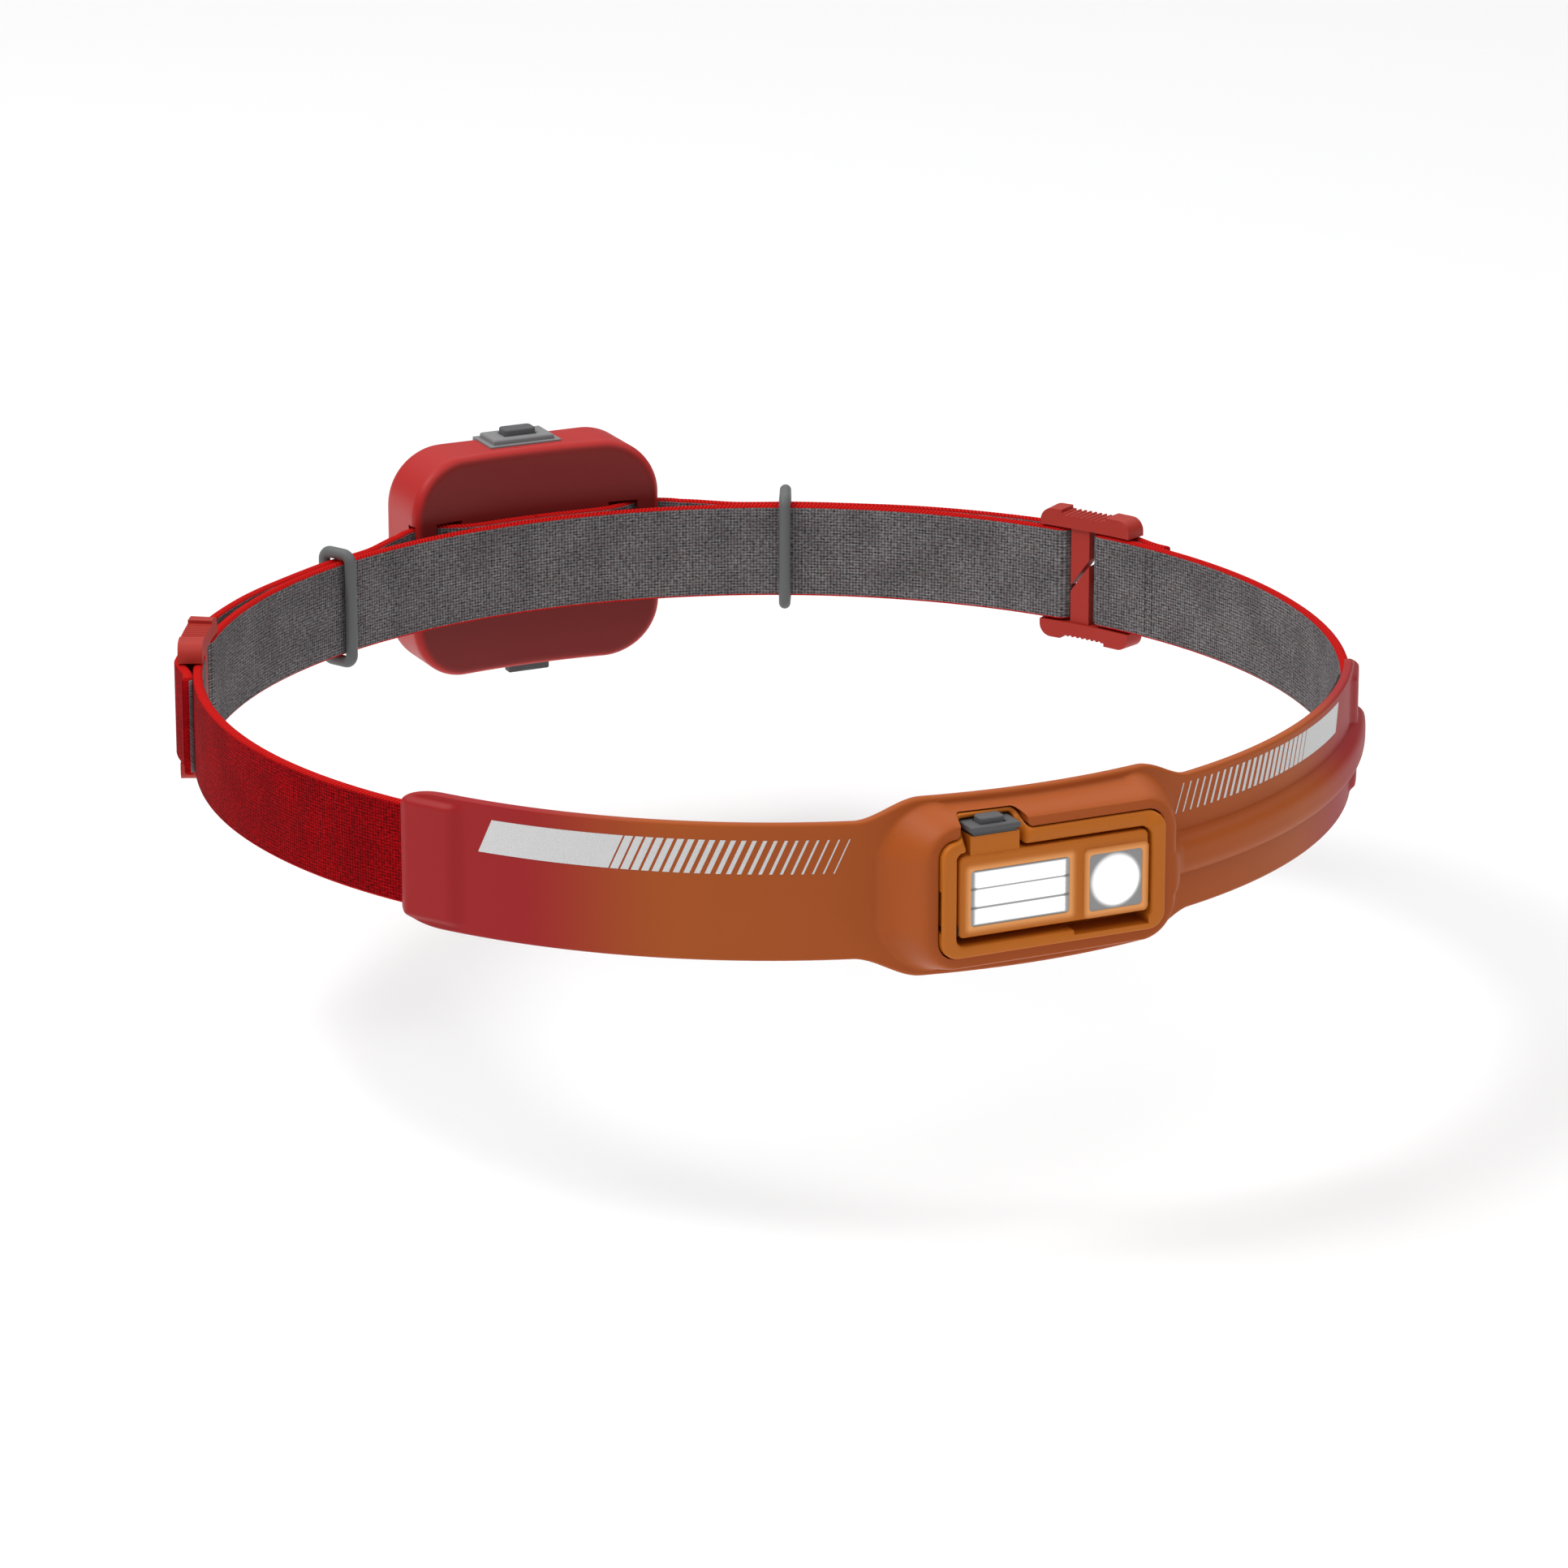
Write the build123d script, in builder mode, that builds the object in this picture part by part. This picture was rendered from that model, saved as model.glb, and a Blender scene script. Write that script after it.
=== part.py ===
from build123d import *
import math
import os

# Headlamp. Millimetres, +Z up, origin at the centre of the head loop at
# mid-height of the webbing. The lamp faces -Y, the battery pack is at +Y.
# An angle is turned from the front (-Y) towards +X.

# Webbing and loop
loop_radius = 101.4
web_width = 18.0
web_thick = 1.8
layer_gap = 0.05
web_half = web_width / 2
web_inner = loop_radius - web_thick / 2
web_outer = loop_radius + web_thick / 2
stacked_radius = loop_radius + web_thick + layer_gap
strap_top = stacked_radius + web_thick / 2

# Front band
band_half_angle = 62.1
band_height = 23.8
band_wall = 1.6
surround_height = 31.0
surround_half = 23.1
shoulder = 7.1
liner_wall = 0.7
liner_half_angle = 55.8
tongue_start = 56.5
boss_rise = 1.0

# Lamp surround, bezel and unit
bulge_base = (56.0, 28.5)
bulge_top = (45.0, 24.4)
bulge_reach = 6.8
bezel_width = 41.3
bezel_height = 20.5
bezel_reach = 8.0
bezel_gap = 0.3
bezel_low = -8.3
bezel_high = 7.7
bezel_screw = (19.0, 8.6)
bezel_shank = 1.1
bezel_head = 2.0
head_depth = 1.2
screw_bite = 3.5
floor_reach = 0.8
opening_width = 36.0
lamp_width = 35.0
lamp_bottom = -6.9
lamp_top = 7.2
lamp_back = 1.6
lamp_front = 7.6
case_wall = 0.8
front_wall = 1.2
back_wall = 1.0
hinge_reach = 6.0
hinge_height = -5.5
tilt_radius = 12.85
hinge_pin = 1.6
pin_length = 3.5
pin_play = 0.05
tab_left = -15.4
tab_right = -6.4
tab_top = 10.4
tab_back = 2.6
tab_play = 0.6
lip_wall = 1.3
lip_side = 0.8
lip_front = 2.9
lip_top = 13.1
button_reach = 5.0
plate_depth = 5.4
plate_base = 0.7
plate_top = 12.0
cap_size = (4.6, 3.0)
cap_top = 13.0
stem_radius = 0.8
stem_length = 1.7
switch_top = 8.7

# Lenses
flood_size = (18.3, 9.8)
flood_centre = (-6.25, -0.3)
spot_size = (10.0, 10.0)
spot_centre = (11.35, -0.65)
rib_count = 9
lens_gap = 0.1
lens_flange = 0.5
lens_lap = 0.3
gasket_thick = 0.3
board_thick = 0.8
spot_frame = 1.0
spot_rise = 0.3

# Power lead
# A kept route: over the webbing and the adjuster, through the right keeper
# and round to the pack's side, as (radius, angle).
lead_diameter = 2.2
lead_height = -1.8
lead_clear = 0.1
lead_arc_end = 103.0
lead_over_strap = strap_top + lead_diameter / 2 + 0.35
lead_route = [
    (106.3, 107.4),
    (107.4, 112.0),
    (107.5, 118.0),
    (107.5, 124.0),
    (107.1, 130.0),
    (106.8, 136.0),
    (106.1, 141.5),
    (105.6, 146.5),
    (105.6, 152.5),
    (105.7, 158.4),
]
lead_turn = (33.4, 106.0)
lead_into_pack = 28.8
gland_sleeve = 1.9
channel_radius = web_outer + lead_clear + lead_diameter / 2
ridge_radius = channel_radius + lead_diameter / 2 + 0.6
ridge_low = -5.3
ridge_high = 2.0
ridge_start = 14.0
ridge_end = 64.6
channel_start = 12.6

# Adjusters
adjuster_start = 113.1
adjuster_end = 124.4
adjuster_inner = web_inner + 0.1
adjuster_outer = adjuster_inner + 4.4
ear_start = web_half + 0.3
ear_height = 3.3
ear_round = 2.4
adjuster_height = 2 * (ear_start + ear_height)
bar_wall = 1.5
front_bar = (115.0, 117.0)
rear_bar = (122.3, 124.0)
centre_bar = (118.5, 120.8)
front_fold = 116.8
rear_fold = 122.5
fold_gap = 0.1
slit_slope = 53.0
grip_count = 8
grip_start = 116.9
grip_pitch = 0.62
grip_radius = 0.4
grip_depth = 0.6

# Keepers
keeper_angle = 153.3
keeper_wire = 2.2
keeper_gap = 0.25

# Battery pack
pack_width = 50.8
pack_height = 43.0
pack_corner = 11.0
pack_face_radius = loop_radius + 4.6
face_round = 1.9
pack_start = pack_face_radius - 7
pack_seam = pack_face_radius + 9
pack_back = pack_seam + 4.3
pack_wall = 1.8
tunnel_inner = pack_face_radius + 1.2
tunnel_outer = tunnel_inner + web_thick + 0.6
tunnel_side = math.degrees(math.asin((pack_width / 2 + 3.43) / tunnel_inner))
tunnel_end = tunnel_side - 4.3
tunnel_mouth = 8.2
tunnel_height = web_width + 1
floor_y = tunnel_outer + 1.2
well_y = pack_face_radius + 2
well_half = 14.2
seal_inset = 0.6
seal_width = 0.7
seal_depth = 0.8
screw_reach = (20.3, 13.5)
screw_boss = 2.4
screw_shank = 1.6
screw_head = 3.2
screw_tip_y = pack_seam - 6.8
head_seat_y = pack_seam + 2
battery_size = (33.0, 4.4, 27.0)
battery_centre = (0.0, pack_seam - 0.1, -4.5)
gland_y = pack_seam - 2.8
rear_board_y = pack_seam + 1
rear_light = (16.0, 5.0)
rear_light_height = 14.0

# Pack button and charging door
button_base = (14.6, 9.0)
button_top = (12.4, 7.0)
pack_button_y = pack_seam - 1.5
pack_plate_top = 22.8
pack_cap = (6.5, 3.6)
pack_cap_top = 24.0
pack_switch_top = 17.1
port_size = (12.4, 5.6)
port_y = pack_seam - 4.2
door_size = (9.0, 3.6, 1.2)
door_grip = (8.3, 2.0, 1.8)
door_pin = 1.0
door_barrel = 1.8

# Worked out
bar_inner = web_outer + fold_gap
liner_outer = web_inner + liner_wall
band_inner = liner_outer
band_outer = band_inner + band_wall
floor_plane = -(loop_radius + floor_reach)
hinge_y = -(loop_radius + hinge_reach)
bar_middle = bar_inner + bar_wall / 2
fold_radius = bar_wall / 2 + fold_gap + web_thick / 2
folded_radius = bar_middle + fold_radius
lead_bore = lead_diameter + 2 * lead_clear
lamp_middle = (lamp_bottom + lamp_top) / 2
lamp_height = lamp_top - lamp_bottom
tab_width = tab_right - tab_left
tab_centre = (tab_left + tab_right) / 2
button_y = -(loop_radius + button_reach)
gland_inner = pack_width / 2 - pack_wall - 0.2
tunnel_middle = (tunnel_inner + tunnel_outer) / 2
corner_places = [(x * screw_reach[0], z * screw_reach[1]) for x in (-1, 1) for z in (-1, 1)]
pack_bottom = -pack_height / 2
door_pin_y = port_y + port_size[1] / 2 - 1.2
door_pin_z = pack_bottom + door_barrel / 2

os.makedirs("parts", exist_ok=True)


def spot(radius, angle):
    """A point of the plan view at a radius and an angle from the front."""
    turn = math.radians(angle)
    return (radius * math.sin(turn), -radius * math.cos(turn))


def radial_plane(angle):
    """The upright plane through the axis at an angle: x outward, y up."""
    x, y = spot(1, angle)
    return Plane(origin=(0, 0, 0), x_dir=(x, y, 0), z_dir=(y, -x, 0))


def front_plane(reach):
    """An upright plane facing the front, at a reach beyond the loop: x along X, y up."""
    return Plane.XZ.offset(loop_radius + reach)


def slab(inner, outer, start, end, bottom, top, mode=Mode.ADD):
    """A curved slab about the loop's axis, between two angles."""
    with BuildSketch(radial_plane(start)) as profile:
        with Locations(((inner + outer) / 2, (bottom + top) / 2)):
            Rectangle(outer - inner, top - bottom)
    revolve(profile.sketch, axis=Axis.Z, revolution_arc=end - start, mode=mode)


def block(x, y, z, mode=Mode.ADD):
    """A box given by its two ends along each axis."""
    with Locations(((x[0] + x[1]) / 2, (y[0] + y[1]) / 2, (z[0] + z[1]) / 2)):
        Box(x[1] - x[0], y[1] - y[0], z[1] - z[0], mode=mode)


def ahead(x, reach, z, mode=Mode.ADD):
    """A box in front of the loop, given by its two reaches."""
    block(x, (-(loop_radius + reach[1]), -(loop_radius + reach[0])), z, mode)


def rod(centre, direction, radius, length, mode=Mode.ADD):
    """A round bar from a centre along a direction."""
    with BuildSketch(Plane(origin=centre, z_dir=direction)) as circle:
        Circle(radius)
    extrude(circle.sketch, amount=length, mode=mode)


def save(piece, name):
    """Labels a finished sub-part and writes it."""
    piece.part.label = name
    export_step(piece.part, f"parts/{name}.step")


# ---------------------------------------------------------------- front band
with BuildPart() as front_band:
    slab(
        band_inner,
        band_outer,
        -band_half_angle,
        band_half_angle,
        -surround_height / 2,
        surround_height / 2,
    )
    # The height follows the front view: tall at the lamp, rounded at the ends.
    with BuildSketch(Plane.XZ) as outline:
        with BuildLine():
            tall = surround_height / 2
            low = band_height / 2
            tip = band_outer * math.sin(math.radians(band_half_angle)) + 0.2
            shelf = surround_half + shoulder
            Line((0, tall), (surround_half, tall))
            Spline((surround_half, tall), (shelf, low), tangents=((1, 0), (1, 0)))
            Line((shelf, low), (tip - 3.6, low))
            Spline((tip - 3.6, low), (tip, low - 3.2), tangents=((1, 0), (0, -1)))
            Line((tip, low - 3.2), (tip, 0))
            mirror(about=Plane.YZ)
            mirror(about=Plane.XZ)
        make_face()
    extrude(amount=band_outer + 5, mode=Mode.INTERSECT)
    # The surround swells forward round the bezel.
    with BuildSketch(Plane.XZ.offset(band_outer - 4.6)):
        RectangleRounded(*bulge_base, 6)
    with BuildSketch(front_plane(bulge_reach)):
        RectangleRounded(*bulge_top, 4)
    loft()
    # Ridge that carries the lead along the right side.
    slab(band_outer - 0.6, ridge_radius, ridge_start, ridge_end, ridge_low, ridge_high)
    ridge_edges = front_band.edges().filter_by(GeomType.CIRCLE)
    fillet(ridge_edges.filter_by(lambda e: abs(e.radius - ridge_radius) < 0.01), 1.2)
    # Raised end bosses over the sewn webbing tongues.
    for start in (55.8, -61.0):
        slab(
            band_outer - 0.6,
            band_outer + boss_rise,
            start,
            start + 5.2,
            -web_half + 0.5,
            web_half - 0.5,
        )
    with BuildSketch() as hollow:
        Circle(band_inner)
    extrude(hollow.sketch, amount=surround_height, both=True, mode=Mode.SUBTRACT)
    for start in (tongue_start - 0.1, -tongue_start + 0.1 - 9):
        slab(
            web_inner - 1,
            web_outer + layer_gap,
            start,
            start + 9,
            -web_half - 0.1,
            web_half + 0.1,
            Mode.SUBTRACT,
        )
    # Pocket for the bezel, recess for its lip and the bore for the lead.
    with BuildSketch(Plane.XZ.offset(-floor_plane)):
        RectangleRounded(bezel_width + 2 * bezel_gap, bezel_height + 2 * bezel_gap, 3.3)
    extrude(amount=12, mode=Mode.SUBTRACT)
    recess = lip_side + tab_play + bezel_gap
    ahead(
        (tab_left - recess, tab_right + recess),
        (floor_reach, 12),
        (8, lip_top + bezel_gap),
        Mode.SUBTRACT,
    )
    with BuildSketch(radial_plane(channel_start - 1.4)) as bore:
        with Locations((channel_radius, lead_height)):
            Circle(lead_bore / 2)
    revolve(
        bore.sketch,
        axis=Axis.Z,
        revolution_arc=ridge_end - channel_start + 3,
        mode=Mode.SUBTRACT,
    )
    # Screw holes through the pocket floor, heads sunk from inside.
    for x in (-1, 1):
        for z in (-1, 1):
            centre = (x * bezel_screw[0], floor_plane, z * bezel_screw[1])
            rod(centre, (0, 1, 0), bezel_shank / 2 + 0.1, 6, Mode.SUBTRACT)
            sunk = (centre[0], floor_plane + head_depth, centre[2])
            rod(sunk, (0, 1, 0), bezel_head / 2 + 0.1, 6, Mode.SUBTRACT)
save(front_band, "front_band")

with BuildPart() as band_liner:
    slab(
        web_inner,
        liner_outer,
        -liner_half_angle,
        liner_half_angle,
        -band_height / 2 + 1,
        band_height / 2 - 1,
    )
    fillet(band_liner.edges().filter_by(lambda e: e.length < 1), 0.3)
save(band_liner, "band_liner")

# --------------------------------------------------------------------- bezel
with BuildPart() as lamp_bezel:
    with BuildSketch(Plane.XZ.offset(-floor_plane)):
        RectangleRounded(bezel_width, bezel_height, 3)
    extrude(amount=bezel_reach - floor_reach)
    fillet(lamp_bezel.faces().sort_by(Axis.Y)[0].edges(), 0.7)
    # The rim runs up, round and behind the button tab, its front sloping back.
    with BuildSketch(Plane.YZ.offset(tab_left - lip_side - tab_play)) as cheek:
        with BuildLine():
            Polyline(
                (floor_plane, bezel_high - 1),
                (-(loop_radius + bezel_reach), bezel_high - 1),
                (-(loop_radius + bezel_reach), bezel_height / 2),
                (-(loop_radius + lip_front), lip_top),
                (floor_plane, lip_top),
                close=True,
            )
        make_face()
    extrude(cheek.sketch, amount=tab_width + 2 * (lip_side + tab_play))
    with BuildSketch(Plane.XZ.offset(-floor_plane)) as window:
        with Locations((0, (bezel_low + bezel_high) / 2)):
            RectangleRounded(opening_width, bezel_high - bezel_low, 1)
    extrude(window.sketch, amount=bezel_reach, mode=Mode.SUBTRACT)
    for back, top in ((floor_reach + lip_wall, lip_top - lip_side), (lip_front, lip_top + 1)):
        ahead(
            (tab_left - tab_play, tab_right + tab_play),
            (back, 12),
            (bezel_high - 1.5, top),
            Mode.SUBTRACT,
        )
    # Hinge holes, the wire slot in each side and the screw pilots.
    rod(
        (-bezel_width, hinge_y, hinge_height),
        (1, 0, 0),
        hinge_pin / 2 + pin_play,
        2 * bezel_width,
        Mode.SUBTRACT,
    )
    for x in (-bezel_width / 2, opening_width / 2):
        ahead((x - 0.1, x + 2.8), (1.4, 2.9), (-4.6, 1.6), Mode.SUBTRACT)
    for x in (-1, 1):
        for z in (-1, 1):
            centre = (x * bezel_screw[0], floor_plane, z * bezel_screw[1])
            rod(centre, (0, -1, 0), bezel_shank / 2, screw_bite, Mode.SUBTRACT)
save(lamp_bezel, "lamp_bezel")

with BuildPart() as bezel_screws:
    for x in (-1, 1):
        for z in (-1, 1):
            centre = (x * bezel_screw[0], floor_plane + head_depth, z * bezel_screw[1])
            rod(centre, (0, -1, 0), bezel_shank / 2, screw_bite + head_depth - 0.2)
            rod(centre, (0, 1, 0), bezel_head / 2, 0.9)
save(bezel_screws, "bezel_screws")

# ----------------------------------------------------------------- lamp unit
inner_left = -lamp_width / 2 + case_wall
inner_right = lamp_width / 2 - case_wall
split_reach = lamp_back + back_wall
wall_back = lamp_front - front_wall


def tilt_trim():
    """Keeps what lies inside the swing of the case about the hinge."""
    with BuildSketch(Plane.YZ.offset(-lamp_width / 2 - 1)) as swing:
        with Locations((hinge_y, hinge_height)):
            Circle(tilt_radius)
    extrude(swing.sketch, amount=lamp_width + 2, mode=Mode.INTERSECT)


def pin_holes(mode):
    """The two hinge pins, or the holes that they are pressed into."""
    for side in (-1, 1):
        centre = (side * (lamp_width / 2 - case_wall), hinge_y, hinge_height)
        rod(centre, (side, 0, 0), hinge_pin / 2, pin_length, mode)


with BuildPart() as lamp_front_case:
    with BuildSketch(front_plane(split_reach)):
        with Locations((0, lamp_middle)):
            RectangleRounded(lamp_width, lamp_height, 1.0)
    extrude(amount=lamp_front - split_reach)
    fillet(lamp_front_case.faces().sort_by(Axis.Y)[0].edges(), 0.5)
    tilt_trim()
    # Raised square frame round the spot lens.
    with BuildSketch(front_plane(lamp_front - 0.6)):
        with Locations(spot_centre):
            RectangleRounded(spot_size[0] + 2 * spot_frame, spot_size[1] + 2 * spot_frame, 0.9)
    extrude(amount=0.6 + spot_rise)
    # Tab that carries the button.
    ahead((tab_left, tab_right), (tab_back, lamp_front - 0.3), (lamp_top - 2, tab_top))
    # Hollow inside, with the tab open to it.
    ahead(
        (inner_left, inner_right),
        (0, wall_back),
        (lamp_bottom + case_wall, lamp_top - case_wall),
        Mode.SUBTRACT,
    )
    ahead(
        (tab_left + 1, tab_right - 1),
        (tab_back + 0.9, wall_back),
        (lamp_top - 2.5, tab_top - 1),
        Mode.SUBTRACT,
    )
    with BuildSketch(front_plane(0)) as windows:
        with Locations(flood_centre):
            RectangleRounded(flood_size[0], flood_size[1], 0.8)
        with Locations(spot_centre):
            RectangleRounded(spot_size[0], spot_size[1], 0.8)
    extrude(windows.sketch, amount=lamp_front + 3, mode=Mode.SUBTRACT)
    rod((tab_centre, button_y, tab_top + 1), (0, 0, -1), stem_radius + 0.2, 3, Mode.SUBTRACT)
    pin_holes(Mode.SUBTRACT)
save(lamp_front_case, "lamp_front_case")

with BuildPart() as lamp_back_case:
    with BuildSketch(front_plane(lamp_back)):
        with Locations((0, lamp_middle)):
            RectangleRounded(lamp_width, lamp_height, 1.0)
    extrude(amount=back_wall)
    with BuildSketch(front_plane(split_reach)):
        with Locations((0, lamp_middle)):
            Rectangle(lamp_width - 2 * case_wall - 0.1, lamp_height - 2 * case_wall - 0.1)
            Rectangle(
                lamp_width - 2 * case_wall - 1.3,
                lamp_height - 2 * case_wall - 1.3,
                mode=Mode.SUBTRACT,
            )
    extrude(amount=0.3)
    tilt_trim()
    # Slot for the wires behind the hinge.
    ahead((inner_left + 2, inner_left + 6), (0, split_reach + 1), (-3, -1.6), Mode.SUBTRACT)
save(lamp_back_case, "lamp_back_case")

with BuildPart() as hinge_pins:
    pin_holes(Mode.ADD)
save(hinge_pins, "hinge_pins")

with BuildPart() as hinge_washers:
    for side in (-1, 1):
        centre = (side * lamp_width / 2, hinge_y, hinge_height)
        rod(centre, (side, 0, 0), hinge_pin / 2 + 0.6, 0.2)
        rod(centre, (side, 0, 0), hinge_pin / 2, 0.2, Mode.SUBTRACT)
save(hinge_washers, "hinge_washers")


def lens(size, centre, front):
    """A window lens with a flange behind the case's front wall."""
    with BuildSketch(front_plane(wall_back - gasket_thick)) as body:
        with Locations(centre):
            RectangleRounded(size[0] - 2 * lens_gap, size[1] - 2 * lens_gap, 0.7)
    extrude(body.sketch, amount=front - wall_back + gasket_thick)
    with BuildSketch(front_plane(wall_back - gasket_thick - lens_flange)) as flange:
        with Locations(centre):
            Rectangle(size[0] + 2 * lens_lap, size[1] + 2 * lens_lap)
    extrude(flange.sketch, amount=lens_flange)


with BuildPart() as flood_lens:
    lens(flood_size, flood_centre, lamp_front - 0.15)
    # Fine ribs spread the light sideways.
    pitch = (flood_size[1] - 1.2) / rib_count
    for index in range(rib_count):
        z = flood_centre[1] + (index - (rib_count - 1) / 2) * pitch
        half = flood_size[0] / 2 - 0.9
        ahead(
            (flood_centre[0] - half, flood_centre[0] + half),
            (lamp_front - 0.25, lamp_front - 0.02),
            (z - pitch * 0.3, z + pitch * 0.3),
        )
save(flood_lens, "flood_lens")

with BuildPart() as spot_lens:
    lens(spot_size, spot_centre, lamp_front)
    with BuildSketch(front_plane(lamp_front - 0.1)):
        with Locations(spot_centre):
            Circle(spot_size[1] / 2 - 0.6)
    extrude(amount=0.3, taper=30)
save(spot_lens, "spot_lens")

with BuildPart() as lens_gasket:
    with BuildSketch(front_plane(wall_back - gasket_thick)):
        for size, centre in ((flood_size, flood_centre), (spot_size, spot_centre)):
            with Locations(centre):
                Rectangle(size[0] + 2 * lens_lap, size[1] + 2 * lens_lap)
        for size, centre in ((flood_size, flood_centre), (spot_size, spot_centre)):
            with Locations(centre):
                Rectangle(size[0], size[1], mode=Mode.SUBTRACT)
    extrude(amount=gasket_thick)
save(lens_gasket, "lens_gasket")

board_front = split_reach + 0.5 + board_thick
reflector_front = wall_back - gasket_thick - lens_flange
flood_led_places = [(flood_centre[0] + shift, flood_centre[1]) for shift in (-5.6, 0, 5.6)]

with BuildPart() as lamp_board:
    ahead(
        (inner_left + 0.3, inner_right - 0.3),
        (board_front - board_thick, board_front),
        (lamp_bottom + case_wall + 0.3, lamp_top - case_wall - 0.4),
    )
    for x in (inner_left + 1.2, inner_right - 1.2):
        rod((x, hinge_y, 3.2), (0, 1, 0), 0.5, 9, Mode.SUBTRACT)
save(lamp_board, "lamp_board")


def emitters(places, side, height):
    """Square light-emitter packages on the lamp's board."""
    with BuildSketch(front_plane(board_front)) as packages:
        with Locations(*places):
            Rectangle(side, side)
    extrude(packages.sketch, amount=height * 0.6)
    with BuildSketch(front_plane(board_front + height * 0.6)) as domes:
        with Locations(*places):
            Circle(side * 0.38)
    extrude(domes.sketch, amount=height * 0.4)


with BuildPart() as flood_leds:
    emitters(flood_led_places, 1.8, 0.5)
save(flood_leds, "flood_leds")

with BuildPart() as spot_led:
    emitters([spot_centre], 2.2, 0.6)
save(spot_led, "spot_led")

with BuildPart() as red_led:
    emitters([(flood_centre[0] + 2.8, flood_centre[1] + 2.2)], 1.2, 0.4)
save(red_led, "red_led")

with BuildPart() as flood_reflector:
    with BuildSketch(front_plane(board_front + 0.1)):
        with Locations(flood_centre):
            Rectangle(flood_size[0] + 0.6, flood_size[1] + 0.6)
    extrude(amount=reflector_front - board_front - 0.2)
    # A trough with sloping sides, open to each emitter.
    with BuildSketch(front_plane(board_front + 0.1)) as foot:
        with Locations(flood_centre):
            Rectangle(flood_size[0] - 4, flood_size[1] - 3.4)
    with BuildSketch(front_plane(reflector_front - 0.1)) as mouth:
        with Locations(flood_centre):
            Rectangle(flood_size[0] - 0.6, flood_size[1] - 0.6)
    loft([foot.sketch.face(), mouth.sketch.face()], mode=Mode.SUBTRACT)
save(flood_reflector, "flood_reflector")

with BuildPart() as spot_reflector:
    with BuildSketch(front_plane(board_front + 0.1)):
        with Locations(spot_centre):
            Rectangle(spot_size[0] + 0.4, spot_size[1] - 0.2)
    extrude(amount=reflector_front - board_front - 0.2)
    with BuildSketch(front_plane(board_front + 0.1)) as foot:
        with Locations(spot_centre):
            Circle(1.7)
    with BuildSketch(front_plane(reflector_front - 0.1)) as mouth:
        with Locations(spot_centre):
            Circle(spot_size[1] / 2 - 0.5)
    loft([foot.sketch.face(), mouth.sketch.face()], mode=Mode.SUBTRACT)
save(spot_reflector, "spot_reflector")

with BuildPart() as lamp_switch:
    block(
        (tab_centre - 1.5, tab_centre + 1.5),
        (button_y - 1.2, -(loop_radius + board_front)),
        (lamp_top - case_wall - 1.4, switch_top - 0.4),
    )
    with Locations((tab_centre, button_y, switch_top - 0.4)):
        Cylinder(0.8, 0.4, align=(Align.CENTER, Align.CENTER, Align.MIN))
save(lamp_switch, "lamp_switch")

with BuildPart() as lamp_button_plate:
    # A narrower foot under a thin flange.
    for inset, low, high in ((0.5, tab_top, plate_top - 0.2), (0, tab_top + plate_base, plate_top)):
        block(
            (tab_left + inset, tab_right - inset),
            (button_y - plate_depth / 2 + inset, button_y + plate_depth / 2 - inset),
            (low, high),
        )
    fillet(lamp_button_plate.faces().sort_by(Axis.Z)[-1].edges(), 0.3)
    with Locations((tab_centre, button_y, tab_top)):
        Box(7.0, 4.2, 1.2, align=(Align.CENTER, Align.CENTER, Align.MIN), mode=Mode.SUBTRACT)
        Box(
            cap_size[0] + 0.2,
            cap_size[1] + 0.2,
            5,
            align=(Align.CENTER, Align.CENTER, Align.MIN),
            mode=Mode.SUBTRACT,
        )
save(lamp_button_plate, "lamp_button_plate")

with BuildPart() as lamp_button:
    with BuildSketch(Plane.XY.offset(tab_top + 0.85)):
        with Locations((tab_centre, button_y)):
            RectangleRounded(cap_size[0], cap_size[1], 0.8)
    extrude(amount=cap_top - tab_top - 0.85)
    fillet(lamp_button.faces().sort_by(Axis.Z)[-1].edges(), 0.3)
    with Locations((tab_centre, button_y, tab_top + 0.85)):
        Box(6.6, 3.8, 0.3, align=(Align.CENTER, Align.CENTER, Align.MIN))
    rod((tab_centre, button_y, tab_top + 0.9), (0, 0, -1), stem_radius, stem_length)
save(lamp_button, "lamp_button")

# ------------------------------------------------------------------- webbing


def fold(angle, forward):
    """The half turn of webbing round an adjuster bar."""
    x, y = spot(bar_middle, angle)
    turn = angle - 90
    start = turn + 180 if forward else turn - 180
    return CenterArc((x, y), fold_radius, start, -180 if forward else 180)


def along(angle, back=False):
    """The direction round the loop at an angle, towards the rear or back to the front."""
    turn = math.radians(angle)
    sign = -1 if back else 1
    return (sign * math.cos(turn), sign * math.sin(turn))


with BuildPart() as strap_right:
    with BuildSketch(Plane.XY.offset(-web_half)):
        with BuildLine():
            CenterArc((0, 0), loop_radius, tongue_start - 90, front_fold - tongue_start)
            fold(front_fold, True)
            CenterArc((0, 0), folded_radius, front_fold - 91.8, 1.8)
            Spline(
                spot(folded_radius, front_fold - 1.8),
                spot(stacked_radius, front_fold - 5.8),
                tangents=(along(front_fold - 1.8, True), along(front_fold - 5.8, True)),
            )
            CenterArc((0, 0), stacked_radius, front_fold - 97.8, 2)
        trace(line_width=web_thick)
    extrude(amount=web_width)
save(strap_right, "strap_right")

with BuildPart() as strap_left:
    add(mirror(strap_right.part, about=Plane.YZ, mode=Mode.PRIVATE))
save(strap_left, "strap_left")

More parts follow.
